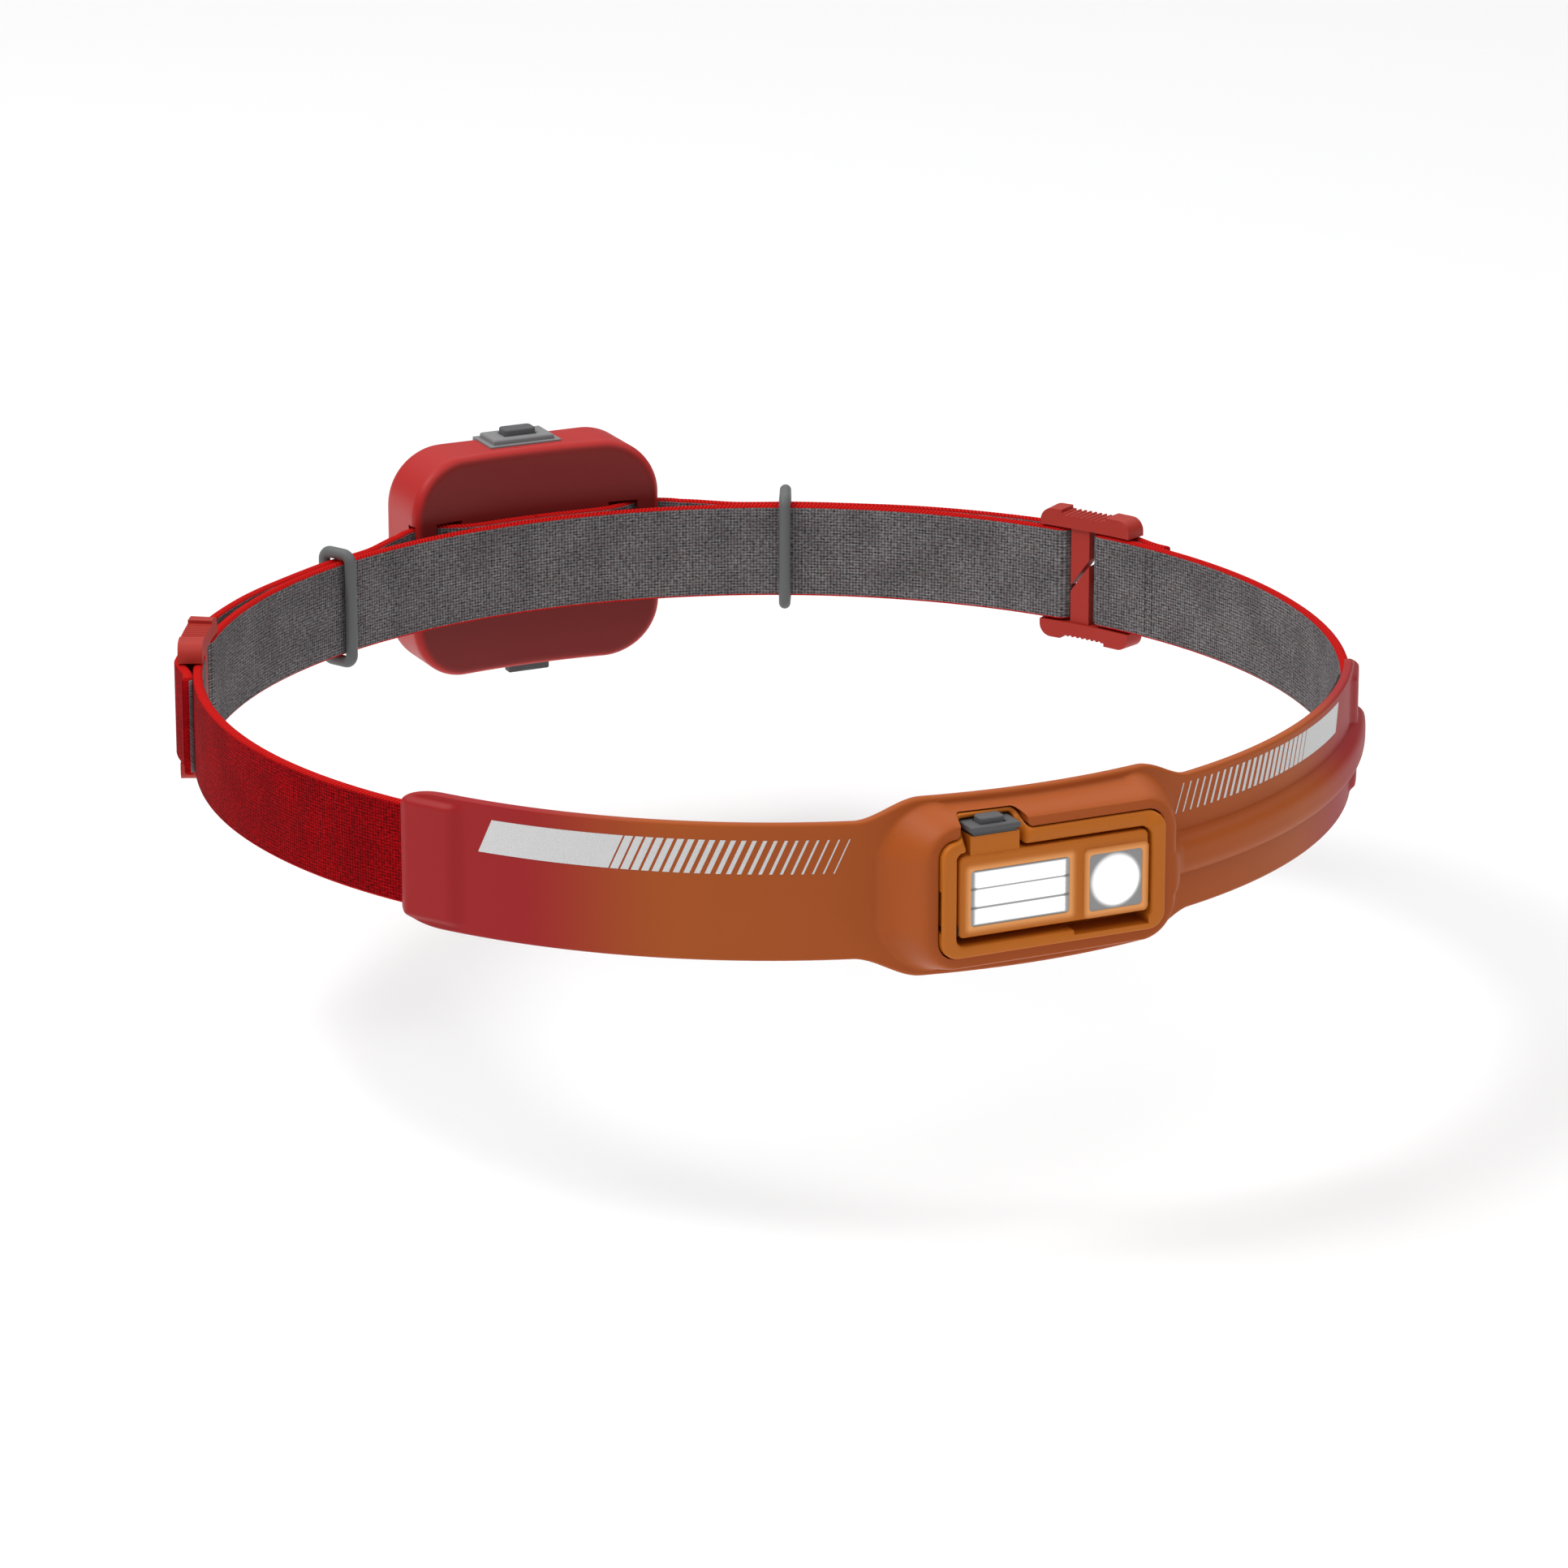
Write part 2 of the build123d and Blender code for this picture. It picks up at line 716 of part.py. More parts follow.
entry = 180 - tunnel_side
leaving = 180 - tunnel_mouth
with BuildPart() as rear_strap:
    with BuildSketch(Plane.XY.offset(-web_half)):
        with BuildLine():
            CenterArc((0, 0), loop_radius, rear_fold - 90, 180 - rear_fold)
            fold(rear_fold, False)
            CenterArc((0, 0), folded_radius, rear_fold - 90, 1.8)
            Spline(
                spot(folded_radius, rear_fold + 1.8),
                spot(folded_radius - 0.4, 130),
                spot(folded_radius - 0.9, 138),
                spot(stacked_radius, 146),
                tangents=(along(rear_fold + 1.8), along(146)),
            )
            CenterArc((0, 0), stacked_radius, 56, entry - 151.9)
            Spline(
                spot(stacked_radius, entry - 5.9),
                spot(tunnel_middle - 1.8, entry - 0.2),
                spot(tunnel_middle - 0.4, entry + 1.4),
                spot(tunnel_middle, entry + 2.9),
                spot(tunnel_middle, (entry + leaving) / 2 - 0.1),
                spot(tunnel_middle - 0.1, leaving - 3.1),
                spot(tunnel_middle - 2.0, leaving - 1.5),
                spot(stacked_radius + 1.75, leaving),
                spot(stacked_radius + 1.1, leaving + 1.8),
                spot(stacked_radius + 1, 180),
                tangents=(along(entry - 5.9), (-1, 0)),
            )
        trace(line_width=web_thick)
        mirror(about=Plane.YZ)
    extrude(amount=web_width)
save(rear_strap, "rear_strap")

# ----------------------------------------------------------------- adjusters
with BuildPart() as adjuster_right:
    for bottom in (ear_start, -adjuster_height / 2):
        top = bottom + adjuster_height / 2 - ear_start
        slab(adjuster_inner, adjuster_outer, adjuster_start, adjuster_end, bottom, top)
    tips = adjuster_right.edges().filter_by(GeomType.LINE).filter_by(Axis.Z, reverse=True)
    fillet(tips.filter_by(lambda e: abs(e.center().Z) > ear_start + 0.1), ear_round)
    for bottom in (-adjuster_height / 2 - 1, adjuster_height / 2 - grip_depth):
        slab(
            adjuster_inner - 1,
            adjuster_outer + 1,
            grip_start - grip_pitch,
            grip_start + grip_count * grip_pitch,
            bottom,
            bottom + 1 + grip_depth,
            Mode.SUBTRACT,
        )
    for start, end in (front_bar, rear_bar):
        slab(bar_inner, bar_inner + bar_wall, start, end, -ear_start - 0.5, ear_start + 0.5)
    slab(
        bar_inner - 1.2,
        bar_inner + bar_wall,
        centre_bar[0],
        centre_bar[1],
        -ear_start - 0.5,
        ear_start + 0.5,
    )
    # Slanting slit through the centre bar, for the webbing to slip in.
    with Locations((*spot(bar_middle, sum(centre_bar) / 2), 0.2)):
        with Locations(Rotation(0, 0, sum(centre_bar) / 2 - 90)):
            with Locations(Rotation(-slit_slope, 0, 0)):
                Box(12, 12, 0.7, mode=Mode.SUBTRACT)
    # Grip ridges over the outer corner of both ears.
    for index in range(grip_count):
        angle = grip_start + index * grip_pitch
        x, y = spot(adjuster_inner - 1, angle)
        for z in (grip_depth - 0.1 - adjuster_height / 2, adjuster_height / 2 + 0.1 - grip_depth):
            rod((x, y, z), (*spot(1, angle), 0), grip_radius, 8, Mode.SUBTRACT)
        x, y = spot(adjuster_outer + 0.12, angle)
        for z in (-adjuster_height / 2 - 0.5, ear_start - 0.5):
            rod((x, y, z), (0, 0, 1), grip_radius, ear_height + 1, Mode.SUBTRACT)
save(adjuster_right, "adjuster_right")

with BuildPart() as adjuster_left:
    add(mirror(adjuster_right.part, about=Plane.YZ, mode=Mode.PRIVATE))
save(adjuster_left, "adjuster_left")

# ------------------------------------------------------------------- keepers


def keeper(inside):
    """A round-wire ring about the webbing, at the right, up to an inside radius."""
    half = keeper_wire / 2
    low = web_inner - keeper_gap - half
    high = inside + keeper_gap + half
    tall = web_half + keeper_gap + half
    with BuildSketch(radial_plane(keeper_angle)) as frame:
        with Locations(((low + high) / 2, 0)):
            RectangleRounded(high - low, 2 * tall, 1.6)
    path = frame.sketch.face().outer_wire()
    with BuildSketch(Plane(origin=path @ 0, z_dir=path % 0)) as wire:
        Circle(half)
    sweep(wire.sketch, path=path)


with BuildPart() as keeper_right:
    keeper(lead_over_strap + lead_diameter / 2)
save(keeper_right, "keeper_right")

with BuildPart() as keeper_left:
    keeper(strap_top)
    mirror(about=Plane.YZ, mode=Mode.REPLACE)
save(keeper_left, "keeper_left")

# ---------------------------------------------------------------- power lead
with BuildPart() as lead:
    with BuildLine() as route:
        held = CenterArc(
            (0, 0, lead_height),
            channel_radius,
            channel_start - 90,
            lead_arc_end - channel_start,
        )
        bend = Spline(
            held @ 1,
            *[(*spot(radius, angle), lead_height) for radius, angle in lead_route],
            (*lead_turn, lead_height),
            (lead_into_pack, gland_y, lead_height),
            tangents=(held % 1, (-1, 0, 0)),
        )
        Line(bend @ 1, (gland_inner - 0.8, gland_y, lead_height))
    with BuildSketch(Plane(origin=route.line @ 0, z_dir=route.line % 0)) as section:
        Circle(lead_diameter / 2)
    sweep(section.sketch, path=route.line)
save(lead, "lead")

with BuildPart() as lead_gland:
    rod((gland_inner, gland_y, lead_height), (1, 0, 0), gland_sleeve, 5.2)
    rod((pack_width / 2, gland_y, lead_height), (1, 0, 0), 2.5, 1.0)
    rod(
        (gland_inner - 0.5, gland_y, lead_height),
        (1, 0, 0),
        lead_diameter / 2 + 0.02,
        7,
        Mode.SUBTRACT,
    )
save(lead_gland, "lead_gland")

# -------------------------------------------------------------- battery pack


def pack_outline(inset, mode=Mode.ADD):
    """The pack's rounded outline seen from the rear, set in by a distance."""
    RectangleRounded(
        pack_width - 2 * inset, pack_height - 2 * inset, pack_corner - inset, mode=mode
    )


def pack_plane(y):
    """An upright plane at a distance behind the axis, facing the front."""
    return Plane.XZ.offset(-y)


def button_slot(grow, mode):
    """The seat of the pack's button plate, through the top wall."""
    block(
        (-button_base[0] / 2 - grow, button_base[0] / 2 + grow),
        (pack_button_y - button_base[1] / 2 - grow, pack_button_y + button_base[1] / 2 + grow),
        (pack_height / 2 - pack_wall - 0.6, pack_height / 2 + 3),
        mode,
    )


def corner_rods(y, radius, length, mode=Mode.ADD):
    """Round bars towards the rear at the pack's four screw places."""
    for x in (-1, 1):
        for z in (-1, 1):
            rod((x * screw_reach[0], y, z * screw_reach[1]), (0, 1, 0), radius, length, mode)


with BuildPart() as pack_inner_shell:
    with BuildSketch(pack_plane(pack_seam)):
        pack_outline(0)
    extrude(amount=pack_seam - pack_start)
    with BuildSketch() as bore:
        Circle(pack_face_radius)
    extrude(bore.sketch, amount=pack_height, both=True, mode=Mode.SUBTRACT)
    face_edges = pack_inner_shell.faces().sort_by(Axis.Y)[0].edges()
    fillet(face_edges, face_round)
    # Room for the battery, with the bosses of the screws left standing.
    with BuildSketch(pack_plane(pack_seam)) as room:
        pack_outline(pack_wall)
        with Locations(*corner_places):
            Circle(screw_boss, mode=Mode.SUBTRACT)
    extrude(room.sketch, amount=pack_seam - floor_y, mode=Mode.SUBTRACT)
    block(
        (-well_half, well_half),
        (well_y, pack_seam),
        (-pack_height / 2 + pack_wall, pack_height / 2 - pack_wall),
        Mode.SUBTRACT,
    )
    # Webbing tunnels: in at the side, out through the inner face.
    for start in (180 - tunnel_side, 180 + tunnel_mouth):
        slab(
            tunnel_inner,
            tunnel_outer,
            start,
            start + tunnel_side - tunnel_mouth,
            -tunnel_height / 2,
            tunnel_height / 2,
            Mode.SUBTRACT,
        )
    for start in (180 - tunnel_end, 180 + tunnel_mouth):
        slab(
            pack_start,
            tunnel_outer,
            start,
            start + tunnel_end - tunnel_mouth,
            -tunnel_height / 2,
            tunnel_height / 2,
            Mode.SUBTRACT,
        )
    corner_rods(screw_tip_y, screw_shank / 2, pack_seam + 1 - screw_tip_y, Mode.SUBTRACT)
    # Groove for the seal, button seat, port opening and the lead's gland.
    with BuildSketch(pack_plane(pack_seam)) as groove:
        pack_outline(seal_inset)
        pack_outline(seal_inset + seal_width, Mode.SUBTRACT)
    extrude(groove.sketch, amount=seal_depth, mode=Mode.SUBTRACT)
    button_slot(0, Mode.SUBTRACT)
    block(
        (-port_size[0] / 2, port_size[0] / 2),
        (port_y - port_size[1] / 2, port_y + port_size[1] / 2),
        (-pack_height / 2 - 1, -pack_height / 2 + pack_wall + 0.5),
        Mode.SUBTRACT,
    )
    rod((pack_width / 2 - 3, gland_y, lead_height), (1, 0, 0), gland_sleeve, 6, Mode.SUBTRACT)
save(pack_inner_shell, "pack_inner_shell")

with BuildPart() as pack_outer_cover:
    with BuildSketch(pack_plane(pack_back)):
        pack_outline(0)
    extrude(amount=pack_back - pack_seam)
    fillet(pack_outer_cover.faces().sort_by(Axis.Y)[-1].edges(), 3.2)
    with BuildSketch(pack_plane(pack_back - pack_wall)) as room:
        pack_outline(pack_wall + 0.8)
        with Locations(*corner_places):
            Circle(screw_boss, mode=Mode.SUBTRACT)
    extrude(room.sketch, amount=pack_back, mode=Mode.SUBTRACT)
    corner_rods(pack_seam - 1, screw_shank / 2 + 0.1, 6, Mode.SUBTRACT)
    corner_rods(head_seat_y, screw_head / 2 + 0.1, 6, Mode.SUBTRACT)
    button_slot(0, Mode.SUBTRACT)
    # Window of the rear light.
    with BuildSketch(pack_plane(pack_back + 1)) as window:
        with Locations((0, rear_light_height)):
            RectangleRounded(rear_light[0], rear_light[1], 1.2)
    extrude(window.sketch, amount=6, mode=Mode.SUBTRACT)
save(pack_outer_cover, "pack_outer_cover")

with BuildPart() as pack_gasket:
    with BuildSketch(pack_plane(pack_seam)):
        pack_outline(seal_inset + 0.05)
        pack_outline(seal_inset + seal_width - 0.05, Mode.SUBTRACT)
    extrude(amount=seal_depth)
    button_slot(0.3, Mode.SUBTRACT)
save(pack_gasket, "pack_gasket")

with BuildPart() as pack_screws:
    corner_rods(head_seat_y, screw_head / 2, 1.1)
    corner_rods(screw_tip_y, screw_shank / 2, head_seat_y - screw_tip_y)
    corner_rods(head_seat_y + 0.5, 0.45, 2, Mode.SUBTRACT)
save(pack_screws, "pack_screws")

with BuildPart() as rear_light_lens:
    with BuildSketch(pack_plane(pack_back - 0.2)):
        with Locations((0, rear_light_height)):
            RectangleRounded(rear_light[0] - 0.2, rear_light[1] - 0.2, 1.1)
    extrude(amount=pack_wall)
    with BuildSketch(pack_plane(pack_back - pack_wall - 0.02)):
        with Locations((0, rear_light_height)):
            Rectangle(rear_light[0] + 1.6, rear_light[1] + 1.6)
    extrude(amount=0.5)
save(rear_light_lens, "rear_light_lens")

with BuildPart() as rear_board:
    block((-11, 11), (rear_board_y - 0.6, rear_board_y), (9.6, 18.6))
save(rear_board, "rear_board")

with BuildPart() as rear_leds:
    with BuildSketch(pack_plane(rear_board_y + 0.6)):
        with GridLocations(5, 1, 3, 1):
            with Locations((0, rear_light_height)):
                Rectangle(2, 1.6)
    extrude(amount=0.6)
save(rear_leds, "rear_leds")

with BuildPart() as pack_switch:
    block((-2.5, 2.5), (pack_button_y - 1.6, rear_board_y - 0.6), (11.5, pack_switch_top - 0.4))
    with Locations((0, pack_button_y, pack_switch_top - 0.4)):
        Cylinder(1.0, 0.4, align=(Align.CENTER, Align.CENTER, Align.MIN))
save(pack_switch, "pack_switch")

with BuildPart() as pack_board:
    block((0.4 - well_half, well_half - 0.4), (well_y + 0.4, well_y + 1.2), (-18.6, 12.5))
    with Locations((-11.5, well_y + 0.8, 10), (11.5, well_y + 0.8, 10)):
        Cylinder(0.8, 3, rotation=(90, 0, 0), mode=Mode.SUBTRACT)
save(pack_board, "pack_board")

with BuildPart() as battery_cell:
    with Locations(battery_centre):
        Box(*battery_size)
    fillet(battery_cell.edges().filter_by(Axis.Z), 1.4)
save(battery_cell, "battery_cell")

with BuildPart() as battery_foam:
    block((-13, 13), (well_y + 3.2, battery_centre[1] - battery_size[1] / 2), (-9, 7))
save(battery_foam, "battery_foam")

with BuildPart() as usb_socket:
    block(
        (-4.5, 4.5),
        (well_y + 1.2, well_y + 4.4),
        (-pack_height / 2 + pack_wall + 0.6, -pack_height / 2 + pack_wall + 7.6),
    )
    fillet(usb_socket.edges().filter_by(Axis.Z), 1.2)
    block((-4.1, 4.1), (well_y + 1.5, well_y + 4.1), (-pack_height / 2, -14), Mode.SUBTRACT)
    block((-3.3, 3.3), (well_y + 2.5, well_y + 3.1), (-18.6, -13.5))
save(usb_socket, "usb_socket")

with BuildPart() as pack_button_plate:
    button_slot(-0.02, Mode.ADD)
    with Locations((0, pack_button_y, pack_height / 2 + 0.3)):
        Box(40, 40, 10, align=(Align.CENTER, Align.CENTER, Align.MIN), mode=Mode.SUBTRACT)
        Box(
            button_top[0],
            button_top[1],
            pack_plate_top - pack_height / 2 - 0.3,
            align=(Align.CENTER, Align.CENTER, Align.MIN),
        )
    fillet(pack_button_plate.faces().sort_by(Axis.Z)[-1].edges(), 0.5)
    with Locations((0, pack_button_y, pack_height / 2 - 3)):
        Box(9, 6, 3.6, align=(Align.CENTER, Align.CENTER, Align.MIN), mode=Mode.SUBTRACT)
        Box(
            pack_cap[0] + 0.2,
            pack_cap[1] + 0.2,
            9,
            align=(Align.CENTER, Align.CENTER, Align.MIN),
            mode=Mode.SUBTRACT,
        )
save(pack_button_plate, "pack_button_plate")

with BuildPart() as pack_button:
    with BuildSketch(Plane.XY.offset(pack_height / 2 + 0.05)):
        with Locations((0, pack_button_y)):
            RectangleRounded(pack_cap[0], pack_cap[1], 0.9)
    extrude(amount=pack_cap_top - pack_height / 2 - 0.05)
    fillet(pack_button.faces().sort_by(Axis.Z)[-1].edges(), 0.35)
    with Locations((0, pack_button_y, pack_height / 2 + 0.05)):
        Box(8.4, 5.4, 0.5, align=(Align.CENTER, Align.CENTER, Align.MIN))
    rod((0, pack_button_y, pack_height / 2 + 0.1), (0, 0, -1), 1.0, 3.4)
save(pack_button, "pack_button")

# Charging door: hinged on a pin at its rear edge, in a frame in the bottom wall.
with BuildPart() as port_door_base:
    block(
        (-port_size[0] / 2, port_size[0] / 2),
        (port_y - port_size[1] / 2, port_y + port_size[1] / 2),
        (pack_bottom, pack_bottom + pack_wall),
    )
    block(
        (-door_size[0] / 2 - 0.15, door_size[0] / 2 + 0.15),
        (door_pin_y - door_size[1] - 0.1, door_pin_y + door_barrel / 2 + 0.15),
        (pack_bottom - 1, pack_bottom + pack_wall + 1),
        Mode.SUBTRACT,
    )
    rod((-10, door_pin_y, door_pin_z), (1, 0, 0), door_pin / 2, 20, Mode.SUBTRACT)
save(port_door_base, "port_door_base")

with BuildPart() as door_hinge_pin:
    length = port_size[0] - 0.4
    rod((-length / 2, door_pin_y, door_pin_z), (1, 0, 0), door_pin / 2, length)
save(door_hinge_pin, "door_hinge_pin")

with BuildPart() as port_door:
    block(
        (-door_size[0] / 2, door_size[0] / 2),
        (door_pin_y - door_size[1], door_pin_y),
        (pack_bottom, pack_bottom + door_size[2]),
    )
    fillet(port_door.edges().filter_by(Axis.Z).group_by(Axis.Y)[0], 0.7)
    rod((-door_size[0] / 2, door_pin_y, door_pin_z), (1, 0, 0), door_barrel / 2, door_size[0])
    # Grip that a fingernail catches.
    block(
        (-door_grip[0] / 2, door_grip[0] / 2),
        (door_pin_y - door_size[1] + 0.2, door_pin_y - door_size[1] + 0.2 + door_grip[1]),
        (pack_bottom - door_grip[2], pack_bottom + 0.2),
    )
    fillet(port_door.faces().sort_by(Axis.Z)[0].edges(), 0.45)
    rod((-10, door_pin_y, door_pin_z), (1, 0, 0), door_pin / 2 + pin_play, 20, Mode.SUBTRACT)
save(port_door, "port_door")
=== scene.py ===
import math

import bmesh
import bpy
import numpy as np
from mathutils import Matrix, Vector


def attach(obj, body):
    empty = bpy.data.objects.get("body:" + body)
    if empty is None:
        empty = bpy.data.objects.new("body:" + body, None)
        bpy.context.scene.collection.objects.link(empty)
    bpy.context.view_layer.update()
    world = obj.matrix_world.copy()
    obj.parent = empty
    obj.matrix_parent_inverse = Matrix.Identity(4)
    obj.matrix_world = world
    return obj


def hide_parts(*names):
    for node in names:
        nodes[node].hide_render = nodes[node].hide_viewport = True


# Headlamp in the CAD frame: metres, +Z up, origin at the centre of the head
# loop. The lamp faces -Y and the battery pack is at +Y. An angle is turned
# from the front (-Y) towards +X.

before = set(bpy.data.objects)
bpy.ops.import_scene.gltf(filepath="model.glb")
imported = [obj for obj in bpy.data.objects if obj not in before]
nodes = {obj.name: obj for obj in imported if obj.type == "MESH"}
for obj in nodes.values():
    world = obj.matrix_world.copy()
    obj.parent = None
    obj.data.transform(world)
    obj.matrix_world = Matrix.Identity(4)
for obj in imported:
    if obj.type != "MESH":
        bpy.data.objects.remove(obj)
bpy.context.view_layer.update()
MM = 0.001

LOOP_RADIUS = 101.4
WEB_HALF = 9.0
WEB_THICK = 1.8
BAND_OUTER = 102.8
BAND_INNER = 101.2
BAND_END = 62.1

# Webbing courses round the adjusters: radii in millimetres, angles in degrees.
FOLD_RADIUS = 1.75
FRONT_FOLD = 116.8
REAR_FOLD = 122.5
FOLDED_RADIUS = 104.9
STACKED_RADIUS = 103.25
TAIL_END = 109.0

# Lenses seen from the front: centre and half size as x, z in millimetres.
FLOOD = ((-6.25, -0.3), (9.15, 4.9))
SPOT = ((11.35, -0.65), (5.0, 5.0))
SPOT_DISC = (4.6, 4.6)


# ------------------------------------------------------------ camera, lights
def make_camera():
    """A long lens, a little above the loop, from the front left."""
    data = bpy.data.cameras.new("camera")
    data.sensor_width = 36
    data.lens = 163.58
    data.clip_start = 0.05
    data.clip_end = 20
    camera = bpy.data.objects.new("camera", data)
    bpy.context.scene.collection.objects.link(camera)
    right = Vector((0.9036, -0.4283, 0))
    back = Vector((-0.4076, -0.8599, 0.3074))
    up = back.cross(right).normalized()
    turn = Matrix((right, up, back)).transposed().to_4x4()
    camera.matrix_world = Matrix.Translation((-0.51556, -1.09282, 0.376)) @ turn
    bpy.context.scene.camera = camera


def area_light(name, place, target, size, power, colour=(1, 1, 1)):
    """A square soft light at a place, turned to a target."""
    data = bpy.data.lights.new(name, "AREA")
    data.shape = "SQUARE"
    data.size = size
    data.energy = power
    data.color = colour
    lamp = bpy.data.objects.new(name, data)
    bpy.context.scene.collection.objects.link(lamp)
    lamp.location = place
    aim = Vector(target) - Vector(place)
    lamp.rotation_euler = aim.to_track_quat("-Z", "Y").to_euler()


def make_studio():
    """A white room: pale floor, a wide overhead light, a key from the left and a low fill."""
    world = bpy.data.worlds.new("studio")
    bpy.context.scene.world = world
    world.use_nodes = True
    background = world.node_tree.nodes["Background"]
    background.inputs["Color"].default_value = (1, 1, 1, 1)
    background.inputs["Strength"].default_value = 0.25
    bpy.context.scene.view_settings.view_transform = "Standard"
    area_light("sky", (0.15, 0.55, 1.8), (0.15, 0.55, 0), 5.0, 80)
    area_light("key", (-0.7, 0.12, 1.0), (0, 0, 0), 0.45, 5.5)
    area_light("front", (-0.2, -1.2, 0.6), (0, -0.05, 0), 0.5, 0.5)
    mesh = bpy.data.meshes.new("floor")
    reach = 4.0
    mesh.from_pydata(
        [(-reach, -reach, 0), (reach, -reach, 0), (reach, reach, 0), (-reach, reach, 0)],
        [],
        [(0, 1, 2, 3)],
    )
    floor = bpy.data.objects.new("floor", mesh)
    floor.location.z = -0.062
    bpy.context.scene.collection.objects.link(floor)
    paint = new_material("floor", (0.92, 0.92, 0.92), 0.9)[0]
    mesh.materials.append(paint)


# ------------------------------------------------------------ material nodes
def new_material(name, colour, roughness, **sockets):
    """A Principled material, and its node tree, links and shader."""
    material = bpy.data.materials.new(name)
    material.use_nodes = True
    tree = material.node_tree
    shader = tree.nodes["Principled BSDF"]
    shader.inputs["Specular IOR Level"].default_value = 0.2
    shader.inputs["Base Color"].default_value = (*colour, 1)
    shader.inputs["Roughness"].default_value = roughness
    for socket, value in sockets.items():
        shader.inputs[socket.replace("_", " ")].default_value = value
    return material, tree, shader


def add_node(tree, kind, **settings):
    """A shader node; settings name its properties, or its inputs by number as in0."""
    node = tree.nodes.new(kind)
    for key, value in settings.items():
        if key.startswith("in") and key[2:].isdigit():
            socket = node.inputs[int(key[2:])]
            if hasattr(value, "node"):
                tree.links.new(value, socket)
            else:
                socket.default_value = value
        else:
            setattr(node, key, value)
    return node


def maths(tree, operation, *values):
    """The output of a Math node over sockets or numbers."""
    inputs = {f"in{index}": value for index, value in enumerate(values)}
    return add_node(tree, "ShaderNodeMath", operation=operation, **inputs).outputs[0]


def smooth_range(tree, value, low, high, to_low=0.0, to_high=1.0):
    """A value eased from one range to another."""
    node = add_node(tree, "ShaderNodeMapRange", interpolation_type="SMOOTHSTEP", in0=value)
    for name, number in (
        ("From Min", low),
        ("From Max", high),
        ("To Min", to_low),
        ("To Max", to_high),
    ):
        node.inputs[name].default_value = number
    return node.outputs[0]


def mix(tree, factor, first, second):
    """A colour between two colours or colour sockets."""
    node = add_node(tree, "ShaderNodeMix", data_type="RGBA")
    for socket, value in ((node.inputs[0], factor), (node.inputs[6], first), (node.inputs[7], second)):
        if hasattr(value, "node"):
            tree.links.new(value, socket)
        elif isinstance(value, (int, float)):
            socket.default_value = value
        else:
            socket.default_value = (*value, 1)
    return node.outputs[2]


def noise_at(tree, vector, scale, detail=2.0, roughness=0.5):
    """The value of a noise texture at a place."""
    node = add_node(tree, "ShaderNodeTexNoise")
    tree.links.new(vector, node.inputs["Vector"])
    node.inputs["Scale"].default_value = scale
    node.inputs["Detail"].default_value = detail
    node.inputs["Roughness"].default_value = roughness
    return node.outputs["Fac"]


def add_bump(tree, shader, height, strength, distance):
    """Bump from a height in 0 to 1, over a real depth."""
    bump = add_node(tree, "ShaderNodeBump")
    bump.inputs["Strength"].default_value = strength
    bump.inputs["Distance"].default_value = distance
    tree.links.new(height, bump.inputs["Height"])
    tree.links.new(bump.outputs[0], shader.inputs["Normal"])


def place_of(tree):
    """The object coordinates, which are the CAD frame in metres."""
    return add_node(tree, "ShaderNodeTexCoord").outputs["Object"]


def moulded(name, colour, roughness=0.5, grain=0.25, scale=2600, **sockets):
    """Moulded plastic: fine spark-eroded grain, faint mottling and varied sheen."""
    material, tree, shader = new_material(name, colour, roughness, **sockets)
    place = place_of(tree)
    cloud = noise_at(tree, place, 45, 3)
    darker = tuple(channel * 0.9 for channel in colour)
    tree.links.new(mix(tree, cloud, darker, colour), shader.inputs["Base Color"])
    tree.links.new(
        smooth_range(tree, cloud, 0.3, 0.7, roughness - 0.05, roughness + 0.06),
        shader.inputs["Roughness"],
    )
    add_bump(tree, shader, noise_at(tree, place, scale, 2), grain, 0.00004)
    return material


def band_coordinates(tree):
    """The angle from the front in degrees, and the height in millimetres."""
    place = place_of(tree)
    split = add_node(tree, "ShaderNodeSeparateXYZ", in0=place)
    x, y, z = split.outputs
    angle = maths(tree, "ARCTAN2", x, maths(tree, "MULTIPLY", y, -1.0))
    degrees = maths(tree, "MULTIPLY", angle, 180 / math.pi)
    return place, degrees, maths(tree, "MULTIPLY", z, 1000.0)


CRIMSON = (0.34, 0.012, 0.014)
EMBER = (0.38, 0.08, 0.011)
AMBER = (0.56, 0.155, 0.012)


def band_material():
    """Soft-touch moulding: crimson at the ends, fading to burnt orange at the lamp."""
    material, tree, shader = new_material("band_shell", EMBER, 0.5)
    place, degrees, height = band_coordinates(tree)
    size = maths(tree, "ABSOLUTE", degrees)
    fade = smooth_range(tree, size, 33, 50)
    orange = mix(tree, noise_at(tree, place, 30, 3), EMBER, tuple(c * 1.12 for c in EMBER))
    tree.links.new(mix(tree, fade, orange, CRIMSON), shader.inputs["Base Color"])
    add_bump(tree, shader, noise_at(tree, place, 3200, 2), 0.25, 0.00004)
    return material


